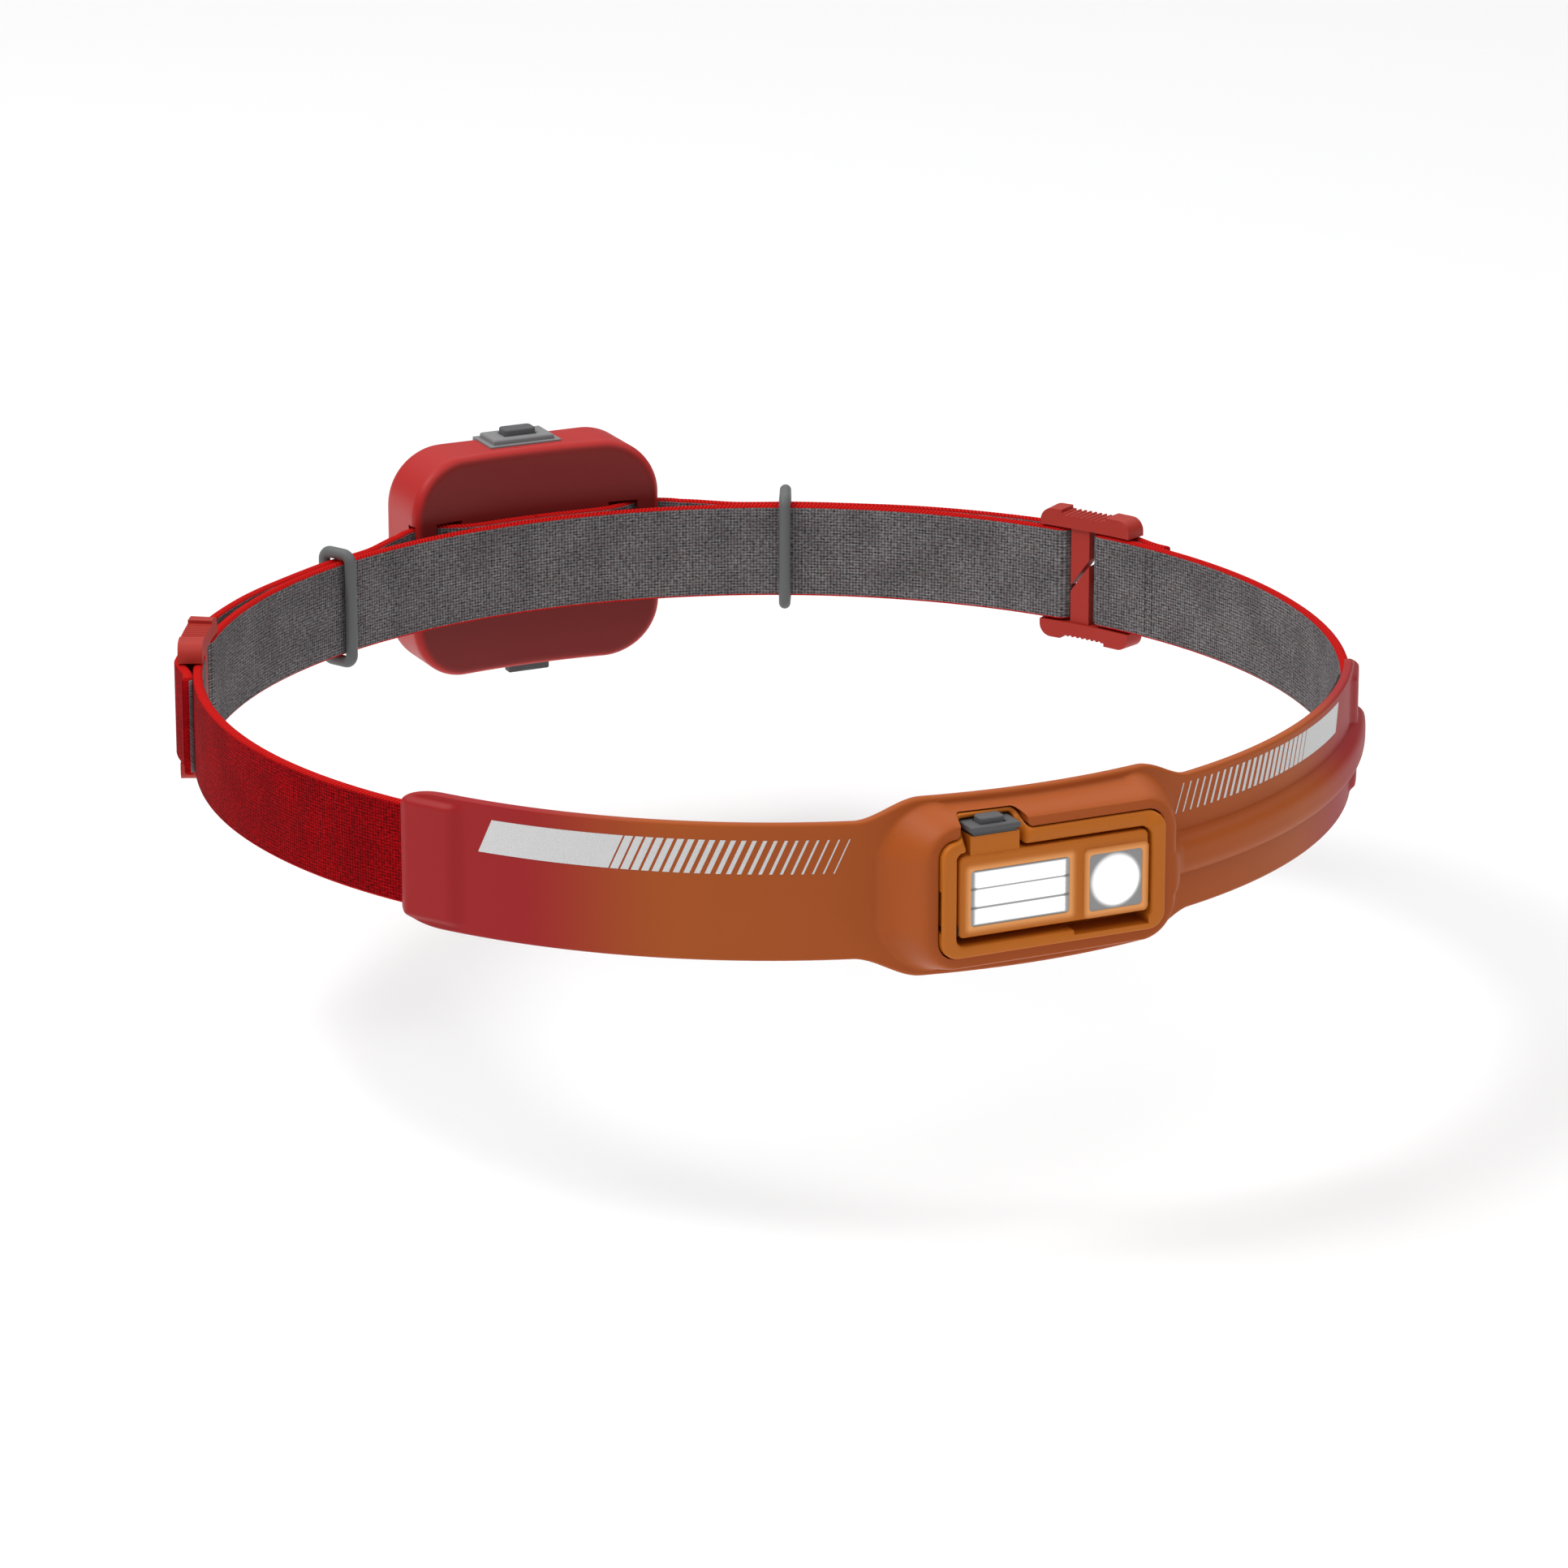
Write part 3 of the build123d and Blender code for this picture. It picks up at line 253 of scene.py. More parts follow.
def webbing_material():
    """Woven elastic: heathered red outside, heathered grey inside, red twill selvages."""
    material, tree, shader = new_material("webbing", (0.4, 0.02, 0.02), 0.85)
    shader.inputs["Specular IOR Level"].default_value = 0.05
    uv = add_node(tree, "ShaderNodeUVMap", uv_map="weave").outputs[0]
    split = add_node(tree, "ShaderNodeSeparateXYZ", in0=uv)
    run, across = split.outputs[0], split.outputs[1]
    # Plain weave: picks and ends, both about 0.6 mm apart.
    pick = maths(tree, "SINE", maths(tree, "MULTIPLY", run, 2 * math.pi / 0.62))
    end = maths(tree, "SINE", maths(tree, "MULTIPLY", across, 2 * math.pi / 0.56))
    weave = smooth_range(tree, maths(tree, "ADD", pick, end), -1.2, 1.5)
    # Heather: short streaks along the picks.
    stretch = add_node(tree, "ShaderNodeMapping", in0=uv)
    stretch.inputs["Scale"].default_value = (0.8, 1.6, 1.0)
    streak = noise_at(tree, stretch.outputs[0], 1.5, 3, 0.8)
    streak = smooth_range(tree, streak, 0.34, 0.66)
    thread = add_node(tree, "ShaderNodeMapping", in0=uv)
    thread.inputs["Scale"].default_value = (0.25, 1.6, 1.0)
    fleck = smooth_range(tree, noise_at(tree, thread.outputs[0], 1.1, 2, 0.6), 0.4, 0.6)
    cloud = noise_at(tree, uv, 0.12, 3, 0.6)
    tone = maths(tree, "ADD", maths(tree, "MULTIPLY", streak, 0.55), maths(tree, "MULTIPLY", weave, 0.45))
    tone = maths(tree, "POWER", tone, 1.25)
    tone = maths(tree, "MULTIPLY", tone, smooth_range(tree, cloud, 0.3, 0.7, 0.8, 1.15))
    red = mix(tree, tone, (0.05, 0.0, 0.001), (0.5, 0.002, 0.005))
    grey = mix(tree, tone, (0.012, 0.0115, 0.013), (0.31, 0.295, 0.3))
    grey = mix(tree, maths(tree, "MULTIPLY", fleck, 0.2), grey, (0.15, 0.1, 0.105))
    # Outward faces are red, inward faces are grey.
    geometry = add_node(tree, "ShaderNodeNewGeometry")
    radial = add_node(tree, "ShaderNodeVectorMath", operation="MULTIPLY", in0=geometry.outputs["Position"])
    radial.inputs[1].default_value = (1, 1, 0)
    outward = add_node(tree, "ShaderNodeVectorMath", operation="NORMALIZE", in0=radial.outputs[0])
    facing = add_node(
        tree,
        "ShaderNodeVectorMath",
        operation="DOT_PRODUCT",
        in0=outward.outputs[0],
        in1=geometry.outputs["Normal"],
    )
    side = smooth_range(tree, facing.outputs["Value"], -0.25, -0.1)
    cloth = mix(tree, side, grey, red)
    z = add_node(tree, "ShaderNodeSeparateXYZ", in0=place_of(tree)).outputs[2]
    rim = maths(tree, "ABSOLUTE", maths(tree, "MULTIPLY", z, 1000.0))
    selvage = smooth_range(tree, rim, 8.45, 8.6)
    slant = maths(tree, "ADD", maths(tree, "MULTIPLY", run, 1.0), maths(tree, "MULTIPLY", rim, 1.4))
    twill = smooth_range(tree, maths(tree, "SINE", maths(tree, "MULTIPLY", slant, 8.5)), -0.6, 0.6)
    edge = mix(tree, twill, (0.3, 0.004, 0.004), (0.66, 0.01, 0.008))
    tree.links.new(mix(tree, selvage, cloth, edge), shader.inputs["Base Color"])
    height = maths(tree, "ADD", maths(tree, "MULTIPLY", weave, 0.7), maths(tree, "MULTIPLY", streak, 0.3))
    add_bump(tree, shader, height, 0.6, 0.00012)
    return material


def glow(name, strength, centre, half, bands=0):
    """A lit lens about a centre, in millimetres: a disc of light, or bands across a window."""
    material, tree, shader = new_material(name, (0.16, 0.16, 0.165), 0.12)
    shader.inputs["Emission Strength"].default_value = strength
    split = add_node(tree, "ShaderNodeSeparateXYZ", in0=place_of(tree))
    x, z = (
        maths(tree, "DIVIDE", maths(tree, "SUBTRACT", split.outputs[axis], middle * MM), size * MM)
        for axis, middle, size in zip((0, 2), centre, half)
    )
    if bands:
        rim = maths(tree, "MAXIMUM", maths(tree, "ABSOLUTE", x), maths(tree, "ABSOLUTE", z))
        turn = maths(tree, "MULTIPLY", z, bands * math.pi / 2)
        line = maths(tree, "ABSOLUTE", maths(tree, "COSINE", turn))
        tone = maths(
            tree,
            "MULTIPLY",
            smooth_range(tree, line, 0.02, 0.4, 0.12, 1.0),
            smooth_range(tree, rim, 0.84, 0.95, 1.0, 0.12),
        )
    else:
        squares = (maths(tree, "POWER", side, 2.0) for side in (x, z))
        away = maths(tree, "SQRT", maths(tree, "ADD", *squares))
        tone = smooth_range(tree, away, 0.74, 1.08, 1.0, 0.08)
    colour = add_node(tree, "ShaderNodeCombineColor", in0=tone, in1=tone, in2=tone)
    tree.links.new(colour.outputs[0], shader.inputs["Emission Color"])
    return material


def lamp_face(name, colour):
    """The lamp's moulded front, with a painted glow of warm light close round both lenses."""
    material = moulded(name, colour, 0.5)
    tree = material.node_tree
    shader = tree.nodes["Principled BSDF"]
    split = add_node(tree, "ShaderNodeSeparateXYZ", in0=place_of(tree))
    painted_glow = None
    for centre, half in (FLOOD, SPOT):
        gaps = [
            maths(
                tree,
                "MAXIMUM",
                maths(
                    tree,
                    "SUBTRACT",
                    maths(tree, "ABSOLUTE", maths(tree, "SUBTRACT", split.outputs[axis], middle * MM)),
                    size * MM,
                ),
                0.0,
            )
            for axis, middle, size in zip((0, 2), centre, half)
        ]
        away = maths(tree, "POWER", maths(tree, "ADD", *(maths(tree, "POWER", g, 2.0) for g in gaps)), 0.5)
        near = smooth_range(tree, away, 0, 0.0017, 1.0, 0.0)
        painted_glow = near if painted_glow is None else maths(tree, "MAXIMUM", painted_glow, near)
    painted_glow = maths(tree, "POWER", painted_glow, 1.6)
    # Painted glow: the face itself emits warm light near the lenses, in place of their spill and halo.
    tree.links.new(mix(tree, painted_glow, (0, 0, 0), (1.0, 0.62, 0.3)), shader.inputs["Emission Color"])
    shader.inputs["Emission Strength"].default_value = 0.3
    return material


def pack_material():
    """The pack's shell: red, with painted shade darkening its face towards the head."""
    bright, painted_shade = (0.44, 0.02, 0.018), (0.2, 0.018, 0.016)
    material = moulded("pack_red", bright, 0.42)
    tree = material.node_tree
    shader = tree.nodes["Principled BSDF"]
    split = add_node(tree, "ShaderNodeSeparateXYZ", in0=place_of(tree))
    squares = (maths(tree, "POWER", split.outputs[axis], 2.0) for axis in (0, 1))
    radius = maths(tree, "SQRT", maths(tree, "ADD", *squares))
    rim = smooth_range(tree, radius, 0.10602, 0.10665)
    # Painted shade: inside a radius of about 106 mm, the face towards the head gets a darker copy of the
    # red.
    tree.links.new(mix(tree, rim, painted_shade, bright), shader.inputs["Base Color"])
    return material


def metal(name, colour, roughness):
    """Plain worked metal with a faint directional grain."""
    material, tree, shader = new_material(name, colour, roughness, Metallic=1.0)
    place = place_of(tree)
    grain = noise_at(tree, place, 1800, 2)
    tree.links.new(
        smooth_range(tree, grain, 0.3, 0.7, roughness - 0.08, roughness + 0.08),
        shader.inputs["Roughness"],
    )
    add_bump(tree, shader, grain, 0.15, 0.00002)
    return material


# ---------------------------------------------------------------- mesh tools
def spot(radius, angle, height=0.0):
    """A point in metres from a radius in millimetres, an angle from the front and a height."""
    turn = math.radians(angle)
    return Vector((radius * math.sin(turn), -radius * math.cos(turn), height)) * MM


def new_piece(name, body, material, mesh, *replaced, smooth=True):
    """Adds a mesh as a piece that rides on a body and stands for CAD nodes."""
    piece = bpy.data.objects.new(name, mesh)
    bpy.context.scene.collection.objects.link(piece)
    mesh.materials.append(material)
    if smooth:
        mesh.shade_smooth()
    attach(piece, body)
    if replaced:
        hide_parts(*replaced)
    return piece


def grid_mesh(name, rows, closed_rows=False, closed_columns=False, uv=None):
    """A mesh from rows of points, quads between neighbours, uv as rows of pairs."""
    mesh = bpy.data.meshes.new(name)
    width = len(rows[0])
    points = [tuple(point) for row in rows for point in row]
    row_count = len(rows) if closed_rows else len(rows) - 1
    column_count = width if closed_columns else width - 1
    faces = []
    for i in range(row_count):
        for j in range(column_count):
            a, b = i * width, ((i + 1) % len(rows)) * width
            k = (j + 1) % width
            faces.append((a + j, a + k, b + k, b + j))
    if closed_columns and not closed_rows:
        faces.append(tuple(reversed(range(width))))
        faces.append(tuple(range((len(rows) - 1) * width, len(rows) * width)))
    mesh.from_pydata(points, [], faces)
    if uv:
        layer = mesh.uv_layers.new(name="weave")
        flat = [pair for row in uv for pair in row]
        for polygon in mesh.polygons:
            corners = [flat[v] for v in polygon.vertices]
            wrap = max(c[1] for c in corners) - min(c[1] for c in corners) > 30
            for loop, corner in zip(polygon.loop_indices, corners):
                lift = 39.6 if wrap and corner[1] < 15 else 0
                layer.data[loop].uv = (corner[0], corner[1] + lift)
    mesh.validate()
    mesh.update()
    return mesh


# ------------------------------------------------------------------- webbing
def course(points):
    """A smooth closely spaced course through (radius, angle) points."""
    knots = np.array(points, float)
    dense = []
    for i in range(len(knots) - 1):
        before = knots[max(i - 1, 0)]
        a, b = knots[i], knots[i + 1]
        after = knots[min(i + 2, len(knots) - 1)]
        steps = max(2, int(abs(b[1] - a[1]) / 0.35))
        for t in np.arange(steps) / steps:
            slope_a, slope_b = (b - before) / 2, (after - a) / 2
            h = t * t * (3 - 2 * t)
            blend = a * (1 - h) + b * h
            swing = (t**3 - 2 * t**2 + t) * slope_a + (t**3 - t**2) * slope_b
            radius = blend[0] + swing[0]
            angle = a[1] + (b[1] - a[1]) * t
            dense.append((radius, angle))
    dense.append(tuple(knots[-1]))
    return [spot(radius, angle) for radius, angle in dense]


def arc_course(radius, start, end):
    """A course round the loop at one radius."""
    steps = max(2, int(abs(end - start) / 0.7))
    return [spot(radius, start + (end - start) * i / steps) for i in range(steps)]


def fold_course(angle, sign):
    """The half turn round an adjuster bar; sign is 1 where it bulges to the rear."""
    centre = spot(LOOP_RADIUS + FOLD_RADIUS, angle)
    outward = spot(1, angle) / MM
    onward = Vector((-outward.y, outward.x, 0)) * sign
    turns = [math.pi * i / 12 for i in range(12)]
    return [centre + (onward * math.sin(t) - outward * math.cos(t)) * FOLD_RADIUS * MM for t in turns]


def web_section():
    """The webbing's rounded section: (across, thickness) pairs in millimetres, and their run."""
    half, thick, corner = WEB_HALF, WEB_THICK / 2, 0.62
    points = []
    for side in (1, -1):
        across = np.linspace(-1, 1, 25)
        for a in across:
            points.append((side * a * (half - corner), side * thick))
        for turn in (30, 60, 90, 120, 150):
            t = math.radians(turn)
            points.append(
                (
                    side * (half - corner + corner * math.sin(t)),
                    side * (thick * math.cos(t)),
                )
            )
    run, total = [0.0], 0.0
    for first, second in zip(points, points[1:]):
        total += math.dist(first, second)
        run.append(total)
    return points, run


def web_mesh(name, line, closed=False):
    """Webbing swept along a course, with a weave uv in millimetres."""
    section, around = web_section()
    rows, uv, length = [], [], 0.0
    count = len(line)
    for i, point in enumerate(line):
        ahead = line[(i + 1) % count] if closed or i < count - 1 else point
        behind = line[i - 1] if closed or i > 0 else point
        onward = (ahead - behind).normalized()
        across = Vector((onward.y, -onward.x, 0))
        if i:
            length += (point - line[i - 1]).length / MM
        rows.append([point + (across * t + Vector((0, 0, a))) * MM for a, t in section])
        uv.append([(length, v) for v in around])
    return grid_mesh(name, rows, closed_rows=closed, closed_columns=True, uv=uv)


def mirrored(line):
    """The same course on the other side, still running the same way round."""
    return [Vector((-p.x, p.y, p.z)) for p in reversed(line)]


def make_webbing():
    """Both side straps and the doubled rear strap."""
    cloth = webbing_material()
    right = arc_course(LOOP_RADIUS, 56.5, FRONT_FOLD) + fold_course(FRONT_FOLD, 1)
    right += course(
        [
            (FOLDED_RADIUS, FRONT_FOLD),
            (FOLDED_RADIUS, FRONT_FOLD - 1.8),
            (STACKED_RADIUS, TAIL_END + 2),
            (STACKED_RADIUS, TAIL_END),
        ]
    )
    left = [Vector((-p.x, p.y, p.z)) for p in right]
    new_piece("webbing_right", "headband", cloth, web_mesh("webbing_right", right), "strap_right")
    mesh = web_mesh("webbing_left", left)
    mesh.flip_normals()
    new_piece("webbing_left", "headband", cloth, mesh, "strap_left")
    outer = course(
        [
            (FOLDED_RADIUS, REAR_FOLD),
            (FOLDED_RADIUS, REAR_FOLD + 1.8),
            (104.5, 130),
            (104.0, 138),
            (STACKED_RADIUS, 146),
            (STACKED_RADIUS, 152),
            (STACKED_RADIUS, 158.5),
            (106.6, 164.2),
            (108.0, 165.8),
            (108.4, 167.3),
            (108.3, 168.7),
            (106.4, 170.3),
            (105.0, 171.8),
            (104.35, 173.6),
            (104.25, 180),
        ]
    )
    fold = fold_course(REAR_FOLD, -1)
    half = list(reversed(fold + outer))
    half += arc_course(LOOP_RADIUS, REAR_FOLD, 180)
    other = mirrored(half)
    mesh = web_mesh("webbing_rear", half + other[:-1], closed=True)
    new_piece("webbing_rear", "headband", cloth, mesh, "rear_strap")


def stitch_row(build, radius, angle):
    """A row of lockstitches across the webbing, each a short swelling bead of thread."""
    outward, onward = spot(1, angle).normalized(), spot(1, angle + 90).normalized()
    for index in range(12):
        low = -7.6 + 1.3 * index
        rings = []
        for up, thick in ((0, 0.04), (0.12, 0.13), (0.45, 0.16), (0.78, 0.13), (0.9, 0.04)):
            middle = spot(radius, angle, low + up)
            rings.append(
                [
                    build.verts.new(
                        middle
                        + (outward * math.cos(k * math.pi / 3) + onward * math.sin(k * math.pi / 3))
                        * thick
                        * MM
                    )
                    for k in range(6)
                ]
            )
        for first, second in zip(rings, rings[1:]):
            for k in range(6):
                n = (k + 1) % 6
                build.faces.new((first[k], first[n], second[n], second[k]))
        build.faces.new(list(reversed(rings[0])))
        build.faces.new(rings[-1])


def make_stitches():
    """Two rows that sew each side strap's end down, seen on its inner face and on its tail."""
    for name, radius, colour in (
        ("stitches_inside", LOOP_RADIUS - 0.93, (0.06, 0.055, 0.058)),
        ("stitches_outside", 104.18, (0.3, 0.003, 0.004)),
    ):
        build = bmesh.new()
        for side in (-1, 1):
            for angle in (109.7, 110.6):
                stitch_row(build, radius, side * angle)
        bmesh.ops.recalc_face_normals(build, faces=build.faces)
        mesh = bpy.data.meshes.new(name)
        build.to_mesh(mesh)
        build.free()
        new_piece(name, "headband", moulded(name, colour, 0.8), mesh)


# --------------------------------------------------------------------- bezel
# Corners seen from the front: x, z and radius, going round the same way.
BEZEL_OUTSIDE = (
    (20.65, -10.25, 3.0),
    (20.65, 10.25, 3.0),
    (-4.6, 10.25, 1.2),
    (-5.1, 13.1, 1.4),
    (-16.6, 13.1, 1.4),
    (-16.8, 10.0, 0.9),
    (-20.65, 9.3, 2.6),
    (-20.65, -10.25, 3.0),
)
BEZEL_INSIDE = (
    (18.0, -8.3, 1.6),
    (18.0, 7.7, 1.6),
    (-5.5, 7.7, 0.8),
    (-5.85, 12.3, 0.9),
    (-15.95, 12.3, 0.9),
    (-16.0, 7.9, 0.5),
    (-18.0, 7.7, 0.9),
    (-18.0, -8.3, 1.6),
)


def rounded_path(corners):
    """Points round a filleted outline with their outward directions."""
    path = []
    for i, (x, z, radius) in enumerate(corners):
        here = Vector((x, z))
        before = (Vector(corners[i - 1][:2]) - here).normalized()
        after = (Vector(corners[(i + 1) % len(corners)][:2]) - here).normalized()
        half = math.acos(max(-1, min(1, before.dot(after)))) / 2
        turning = -before.x * after.y + before.y * after.x
        sign = 1 if turning > 0 else -1
        centre = here + (before + after).normalized() * radius / math.sin(half)
        first = here + before * radius / math.tan(half) - centre
        last = here + after * radius / math.tan(half) - centre
        for step in range(7):
            arm = (first * (1 - step / 6) + last * (step / 6)).normalized()
            path.append((centre + arm * radius, arm * sign))
        start = centre + last
        x, z, radius = corners[(i + 1) % len(corners)]
        other = Vector((x, z))
        following = (Vector(corners[(i + 2) % len(corners)][:2]) - other).normalized()
        onward = -after
        half = math.acos(max(-1, min(1, onward.dot(following)))) / 2
        stop = other + onward * radius / math.tan(half)
        for step in (1, 2, 3, 4):
            path.append((start.lerp(stop, step / 5), Vector((after.y, -after.x))))
    return path


def make_bezel():
    """The bezel as one rim that climbs and leans back round the button tab."""
    outside = [point for point, outward in rounded_path(BEZEL_OUTSIDE)]
    inside = [point for point, outward in rounded_path(BEZEL_INSIDE)]
    rows = []
    for outer, inner in zip(outside, inside):
        width = (outer - inner).length
        reach = 8.0 - 4.8 * ease(outer.y, 9.2, 13.4)
        soft = min(0.55, width / 2.4)
        section = [(0, 1.0), (0, reach - soft)]
        for turn in (30, 60, 90):
            t = math.radians(turn)
            section.append((soft * (1 - math.cos(t)), reach - soft + soft * math.sin(t)))
        for turn in (90, 60, 30):
            t = math.radians(turn)
            section.append((width - soft * (1 - math.cos(t)), reach - soft + soft * math.sin(t)))
        section += [(width, reach - soft), (width, 1.2)]
        row = []
        for along, forward in section:
            place = outer.lerp(inner, along / width)
            row.append(Vector((place.x, -(LOOP_RADIUS + forward), place.y)) * MM)
        rows.append(row)
    mesh = grid_mesh("bezel", rows, closed_rows=True, closed_columns=True)
    piece = new_piece("bezel", "headband", moulded("bezel_amber", AMBER, 0.45), mesh, "lamp_bezel")
    # A pry slot in the left side, and the deeper step under the spot lens.
    cut(piece, box_mesh((-21.2, -20.15), (2.5, 7.3), (-5.6, 1.6)))
    cut(piece, box_mesh((3.6, 17.5), (2.4, 12), (-9.1, -7.8)))


def box_mesh(x, reach, z):
    """A closed box in front of the loop, in millimetres, for cutting with."""
    mesh = bpy.data.meshes.new("box")
    points = [
        Vector((a, -(LOOP_RADIUS + b), c)) * MM for a in x for b in reach for c in z
    ]
    faces = [(0, 1, 3, 2), (4, 6, 7, 5), (0, 4, 5, 1), (2, 3, 7, 6), (0, 2, 6, 4), (1, 5, 7, 3)]
    mesh.from_pydata(points, [], faces)
    build = bmesh.new()
    build.from_mesh(mesh)
    bmesh.ops.recalc_face_normals(build, faces=build.faces)
    build.to_mesh(mesh)
    build.free()
    return mesh


# ---------------------------------------------------------------- front band
def ease(value, low, high):
    """Smoothstep of a number between two limits."""
    t = min(max((value - low) / (high - low), 0), 1)
    return t * t * (3 - 2 * t)


def band_half_height(angle):
    """Half the band's height: tall round the lamp, rounded off at the ends."""
    size = abs(angle)
    half = 15.5 - 3.6 * ease(size, 11.4, 17.8)
    if size > 57.6:
        t = (size - 57.6) / (BAND_END - 57.6)
        half -= 2.6 * (1 - math.sqrt(max(0, 1 - t * t)))
    return half


def ridge_rise(angle, height):
    """The lead's ridge on the right: its rise over the band."""
    if angle < 8:
        return 0
    middle, half = -1.65, 3.65
    across = abs(height - middle) / half
    if across >= 1:
        return 0
    crown = (1 - across**3.2) ** 0.62
    return 2.4 * crown * ease(angle, 8, 13)


def boss_rise(angle, height):
    """The raised end bosses over the sewn webbing."""
    along = ease(abs(angle), 55.2, 56.3) * (1 - ease(abs(angle), 61.2, 62.3))
    return 1.0 * along * (1 - ease(abs(height), 9.6, 11.0))


def band_point(angle, height, share):
    """A point of the band's outer face; share runs from -1 to 1 over its height."""
    roll = max(0, abs(share) - 0.955) / 0.045
    radius = BAND_OUTER - 0.75 * (1 - math.sqrt(max(0, 1 - roll * roll)))
    radius += max(ridge_rise(angle, height), boss_rise(angle, height))
    point = spot(radius, angle, height)
    x = abs(BAND_OUTER * math.sin(math.radians(angle)))
    over_x, over_z = max(0, x - 16.5), max(0, abs(height) - 6.2)
    away = math.hypot(over_x, over_z) - 5.9
    swell = 1 - ease(away / (2.2 + 3.2 * over_x / (over_x + over_z + 0.001)), 0, 1)
    front = -(LOOP_RADIUS + 6.8) * MM
    point.y += (min(front, point.y) - point.y) * swell
    return point


def make_band():
    """The front band as one smooth shell, its pocket cut for the bezel."""
    shares = np.concatenate(
        [
            -1 + 0.045 * (1 - np.cos(np.linspace(0, math.pi / 2, 5))),
            np.linspace(-0.95, 0.95, 92),
            1 - 0.045 * (1 - np.cos(np.linspace(math.pi / 2, 0, 5))),
        ]
    )
    dense = np.concatenate(
        [
            -BAND_END + 4.6 * (1 - np.cos(np.linspace(0, math.pi / 2, 16)))[:-1],
            np.linspace(-57.5, -18, 70)[:-1],
            np.linspace(-18, 18, 150)[:-1],
            np.linspace(18, 57.5, 70)[:-1],
            BAND_END - 4.6 * (1 - np.cos(np.linspace(math.pi / 2, 0, 16))),
        ]
    )
    rows = []
    for angle in dense:
        half = band_half_height(angle)
        row = [band_point(angle, share * half, share) for share in shares]
        rim = half - 0.15
        inner = np.linspace(rim, -rim, 14)
        row += [spot(BAND_INNER, angle, height) for height in inner]
        rows.append(row)
    mesh = grid_mesh("band", rows, closed_columns=True)
    band = new_piece("band", "headband", band_material(), mesh, "front_band")
    tool = bmesh.new()
    ring = [point + outward * 0.3 for point, outward in rounded_path(BEZEL_OUTSIDE)]
    front, back = (
        [tool.verts.new(Vector((p.x, y, p.y)) * MM) for p in ring] for y in (-125, -102.2)
    )
    tool.faces.new(front)
    tool.faces.new(list(reversed(back)))
    for i in range(len(ring)):
        k = (i + 1) % len(ring)
        tool.faces.new((front[k], front[i], back[i], back[k]))
    bmesh.ops.recalc_face_normals(tool, faces=tool.faces)
    cutter = bpy.data.meshes.new("pocket")
    tool.to_mesh(cutter)
    tool.free()
    cut(band, cutter)


def stripe(build, left, right, slant, low, high):
    """A thin slanted patch on the band's outer face, between two angles at its foot."""
    columns = max(2, int((right - left) / 0.5) + 1)
    sheets = []
    for lift in (0.06, -0.2):
        sheet = []
        for i in range(columns):
            column = []
            for j in range(7):
                up = j / 6
                angle = left + (right - left) * i / (columns - 1) + slant * up
                height = low + (high - low) * up
                point = band_point(angle, height, 0)
                outward = spot(1, angle).normalized()
                column.append(build.verts.new(point + outward * lift * MM))
            sheet.append(column)
        sheets.append(sheet)
    outer, inner = sheets
    for i in range(columns - 1):
        for j in range(6):
            build.faces.new((outer[i][j], outer[i + 1][j], outer[i + 1][j + 1], outer[i][j + 1]))
            build.faces.new((inner[i][j], inner[i][j + 1], inner[i + 1][j + 1], inner[i + 1][j]))
        build.faces.new((outer[i][0], inner[i][0], inner[i + 1][0], outer[i + 1][0]))
        build.faces.new((outer[i][6], outer[i + 1][6], inner[i + 1][6], inner[i][6]))
    for i in (0, columns - 1):
        for j in range(6):
            build.faces.new((outer[i][j], outer[i][j + 1], inner[i][j + 1], inner[i][j]))
    bmesh.ops.recalc_face_normals(build, faces=build.faces)


def make_reflectors():
    """Reflective prints: a solid block, then slanted bars that thin out towards the lamp."""
    paint, tree, shader = new_material("reflective", (0.6, 0.6, 0.6), 0.45)
    bead = smooth_range(tree, noise_at(tree, place_of(tree), 5200, 1), 0.35, 0.65)
    tree.links.new(mix(tree, bead, (0.62, 0.62, 0.62), (0.7, 0.7, 0.7)), shader.inputs["Base Color"])
    for name, block, toward, slant, low, high in (
        ("reflector_left", (-53.4, -40.4), 1, 1.45, 3.3, 9.1),
        ("reflector_right", (36.6, 46.3), -1, 1.0, 5.5, 10.5),
    ):
        build = bmesh.new()
        stripe(build, *block, slant, low, high)
        edge = block[1] if toward > 0 else block[0]
        for index in range(22):
            pitch = 0.95
            width = pitch * (0.82 - 0.7 * index / 21)
            start = edge + toward * pitch * (index + 1) - (width if toward > 0 else 0)
            stripe(build, start, start + width, slant, low, high)
        mesh = bpy.data.meshes.new(name)
        build.to_mesh(mesh)
        build.free()
        new_piece(name, "headband", paint, mesh, smooth=False)


def cut(piece, cutter_mesh):
    """Cuts a piece with a closed mesh and keeps the result."""
    cutter = bpy.data.objects.new("cutter", cutter_mesh)
    bpy.context.scene.collection.objects.link(cutter)
    modifier = piece.modifiers.new("cut", "BOOLEAN")
    modifier.object = cutter
    modifier.operation = "DIFFERENCE"
    modifier.solver = "EXACT"
    result = bpy.data.meshes.new_from_object(
        piece.evaluated_get(bpy.context.evaluated_depsgraph_get())
    )
    piece.modifiers.clear()
    piece.data = result
    bpy.data.objects.remove(cutter)
    piece.data.set_sharp_from_angle(angle=math.radians(40))


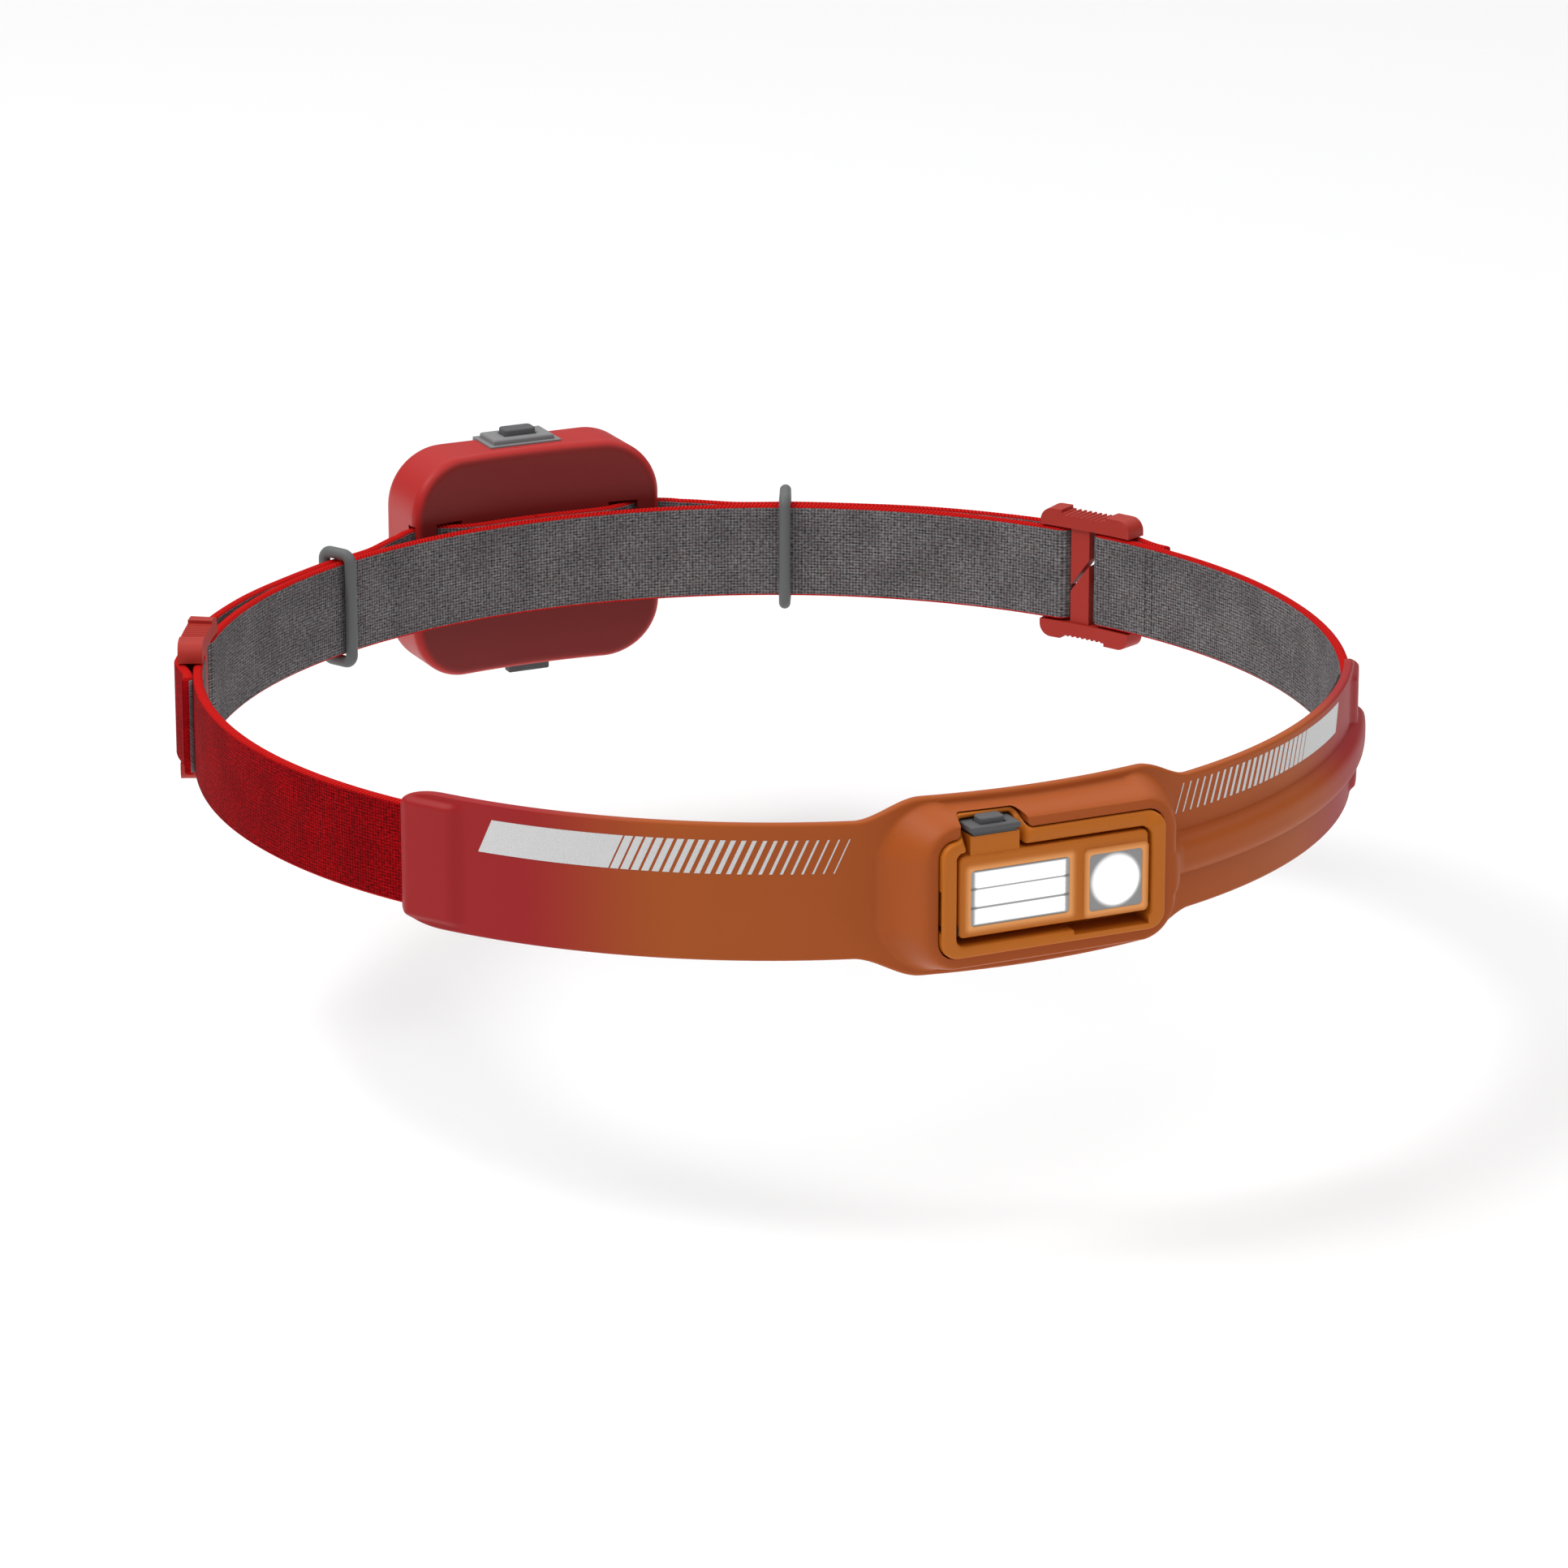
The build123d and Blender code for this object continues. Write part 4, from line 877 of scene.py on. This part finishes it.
# ------------------------------------------------------------------- finish
def dress_nodes():
    """Gives every CAD node that stays its material."""
    grey = moulded("button_grey", (0.11, 0.11, 0.115), 0.55)
    pale = moulded("plate_grey", (0.24, 0.24, 0.245), 0.5)
    wire = moulded("keeper_grey", (0.14, 0.145, 0.145), 0.45)
    amber = moulded("amber", AMBER, 0.5)
    red = pack_material()
    deep = moulded("adjuster_red", (0.42, 0.03, 0.02), 0.45)
    black = moulded("seal", (0.02, 0.02, 0.02), 0.7)
    steel = metal("steel", (0.55, 0.55, 0.57), 0.35)
    board = moulded("board", (0.02, 0.1, 0.04), 0.35)
    lead = moulded("lead_red", (0.42, 0.02, 0.02), 0.5)
    window = moulded("rear_lens", (0.1, 0.001, 0.001), 0.1, Coat_Weight=0.8)
    foil = metal("foil", (0.75, 0.75, 0.77), 0.3)
    mirror = metal("mirror", (0.9, 0.9, 0.9), 0.12)
    lining = moulded("lining", (0.03, 0.03, 0.032), 0.9)
    flood = glow("flood_glow", 1.5, *FLOOD, bands=3)
    beam = glow("spot_glow", 1.6, SPOT[0], SPOT_DISC)
    kinds = {
        "front_band": amber,
        "band_liner": lining,
        "lamp_bezel": amber,
        "lamp_front_case": lamp_face("lamp_face", AMBER),
        "lamp_back_case": amber,
        "flood_lens": flood,
        "spot_lens": beam,
        "flood_reflector": mirror,
        "spot_reflector": mirror,
        "flood_leds": flood,
        "spot_led": beam,
        "red_led": window,
        "rear_leds": window,
        "rear_light_lens": window,
        "battery_cell": foil,
        "lead": lead,
        "pack_inner_shell": red,
        "pack_outer_cover": red,
        "pack_button_plate": pale,
        "adjuster_left": deep,
        "adjuster_right": deep,
    }
    starts = {"keeper": wire, "pack_button": grey, "lamp_button": grey, "port_door": grey}
    for name, node in nodes.items():
        material = kinds.get(name)
        for start, choice in starts.items():
            if material is None and name.startswith(start):
                material = choice
        if material is None and name.endswith("board"):
            material = board
        if material is None and any(w in name for w in ("screws", "pin", "usb", "switch")):
            material = steel
        node.data.materials.clear()
        node.data.materials.append(material or black)


make_camera()
make_studio()
dress_nodes()
make_webbing()
make_stitches()
make_band()
make_bezel()
make_reflectors()

bpy.context.view_layer.update()
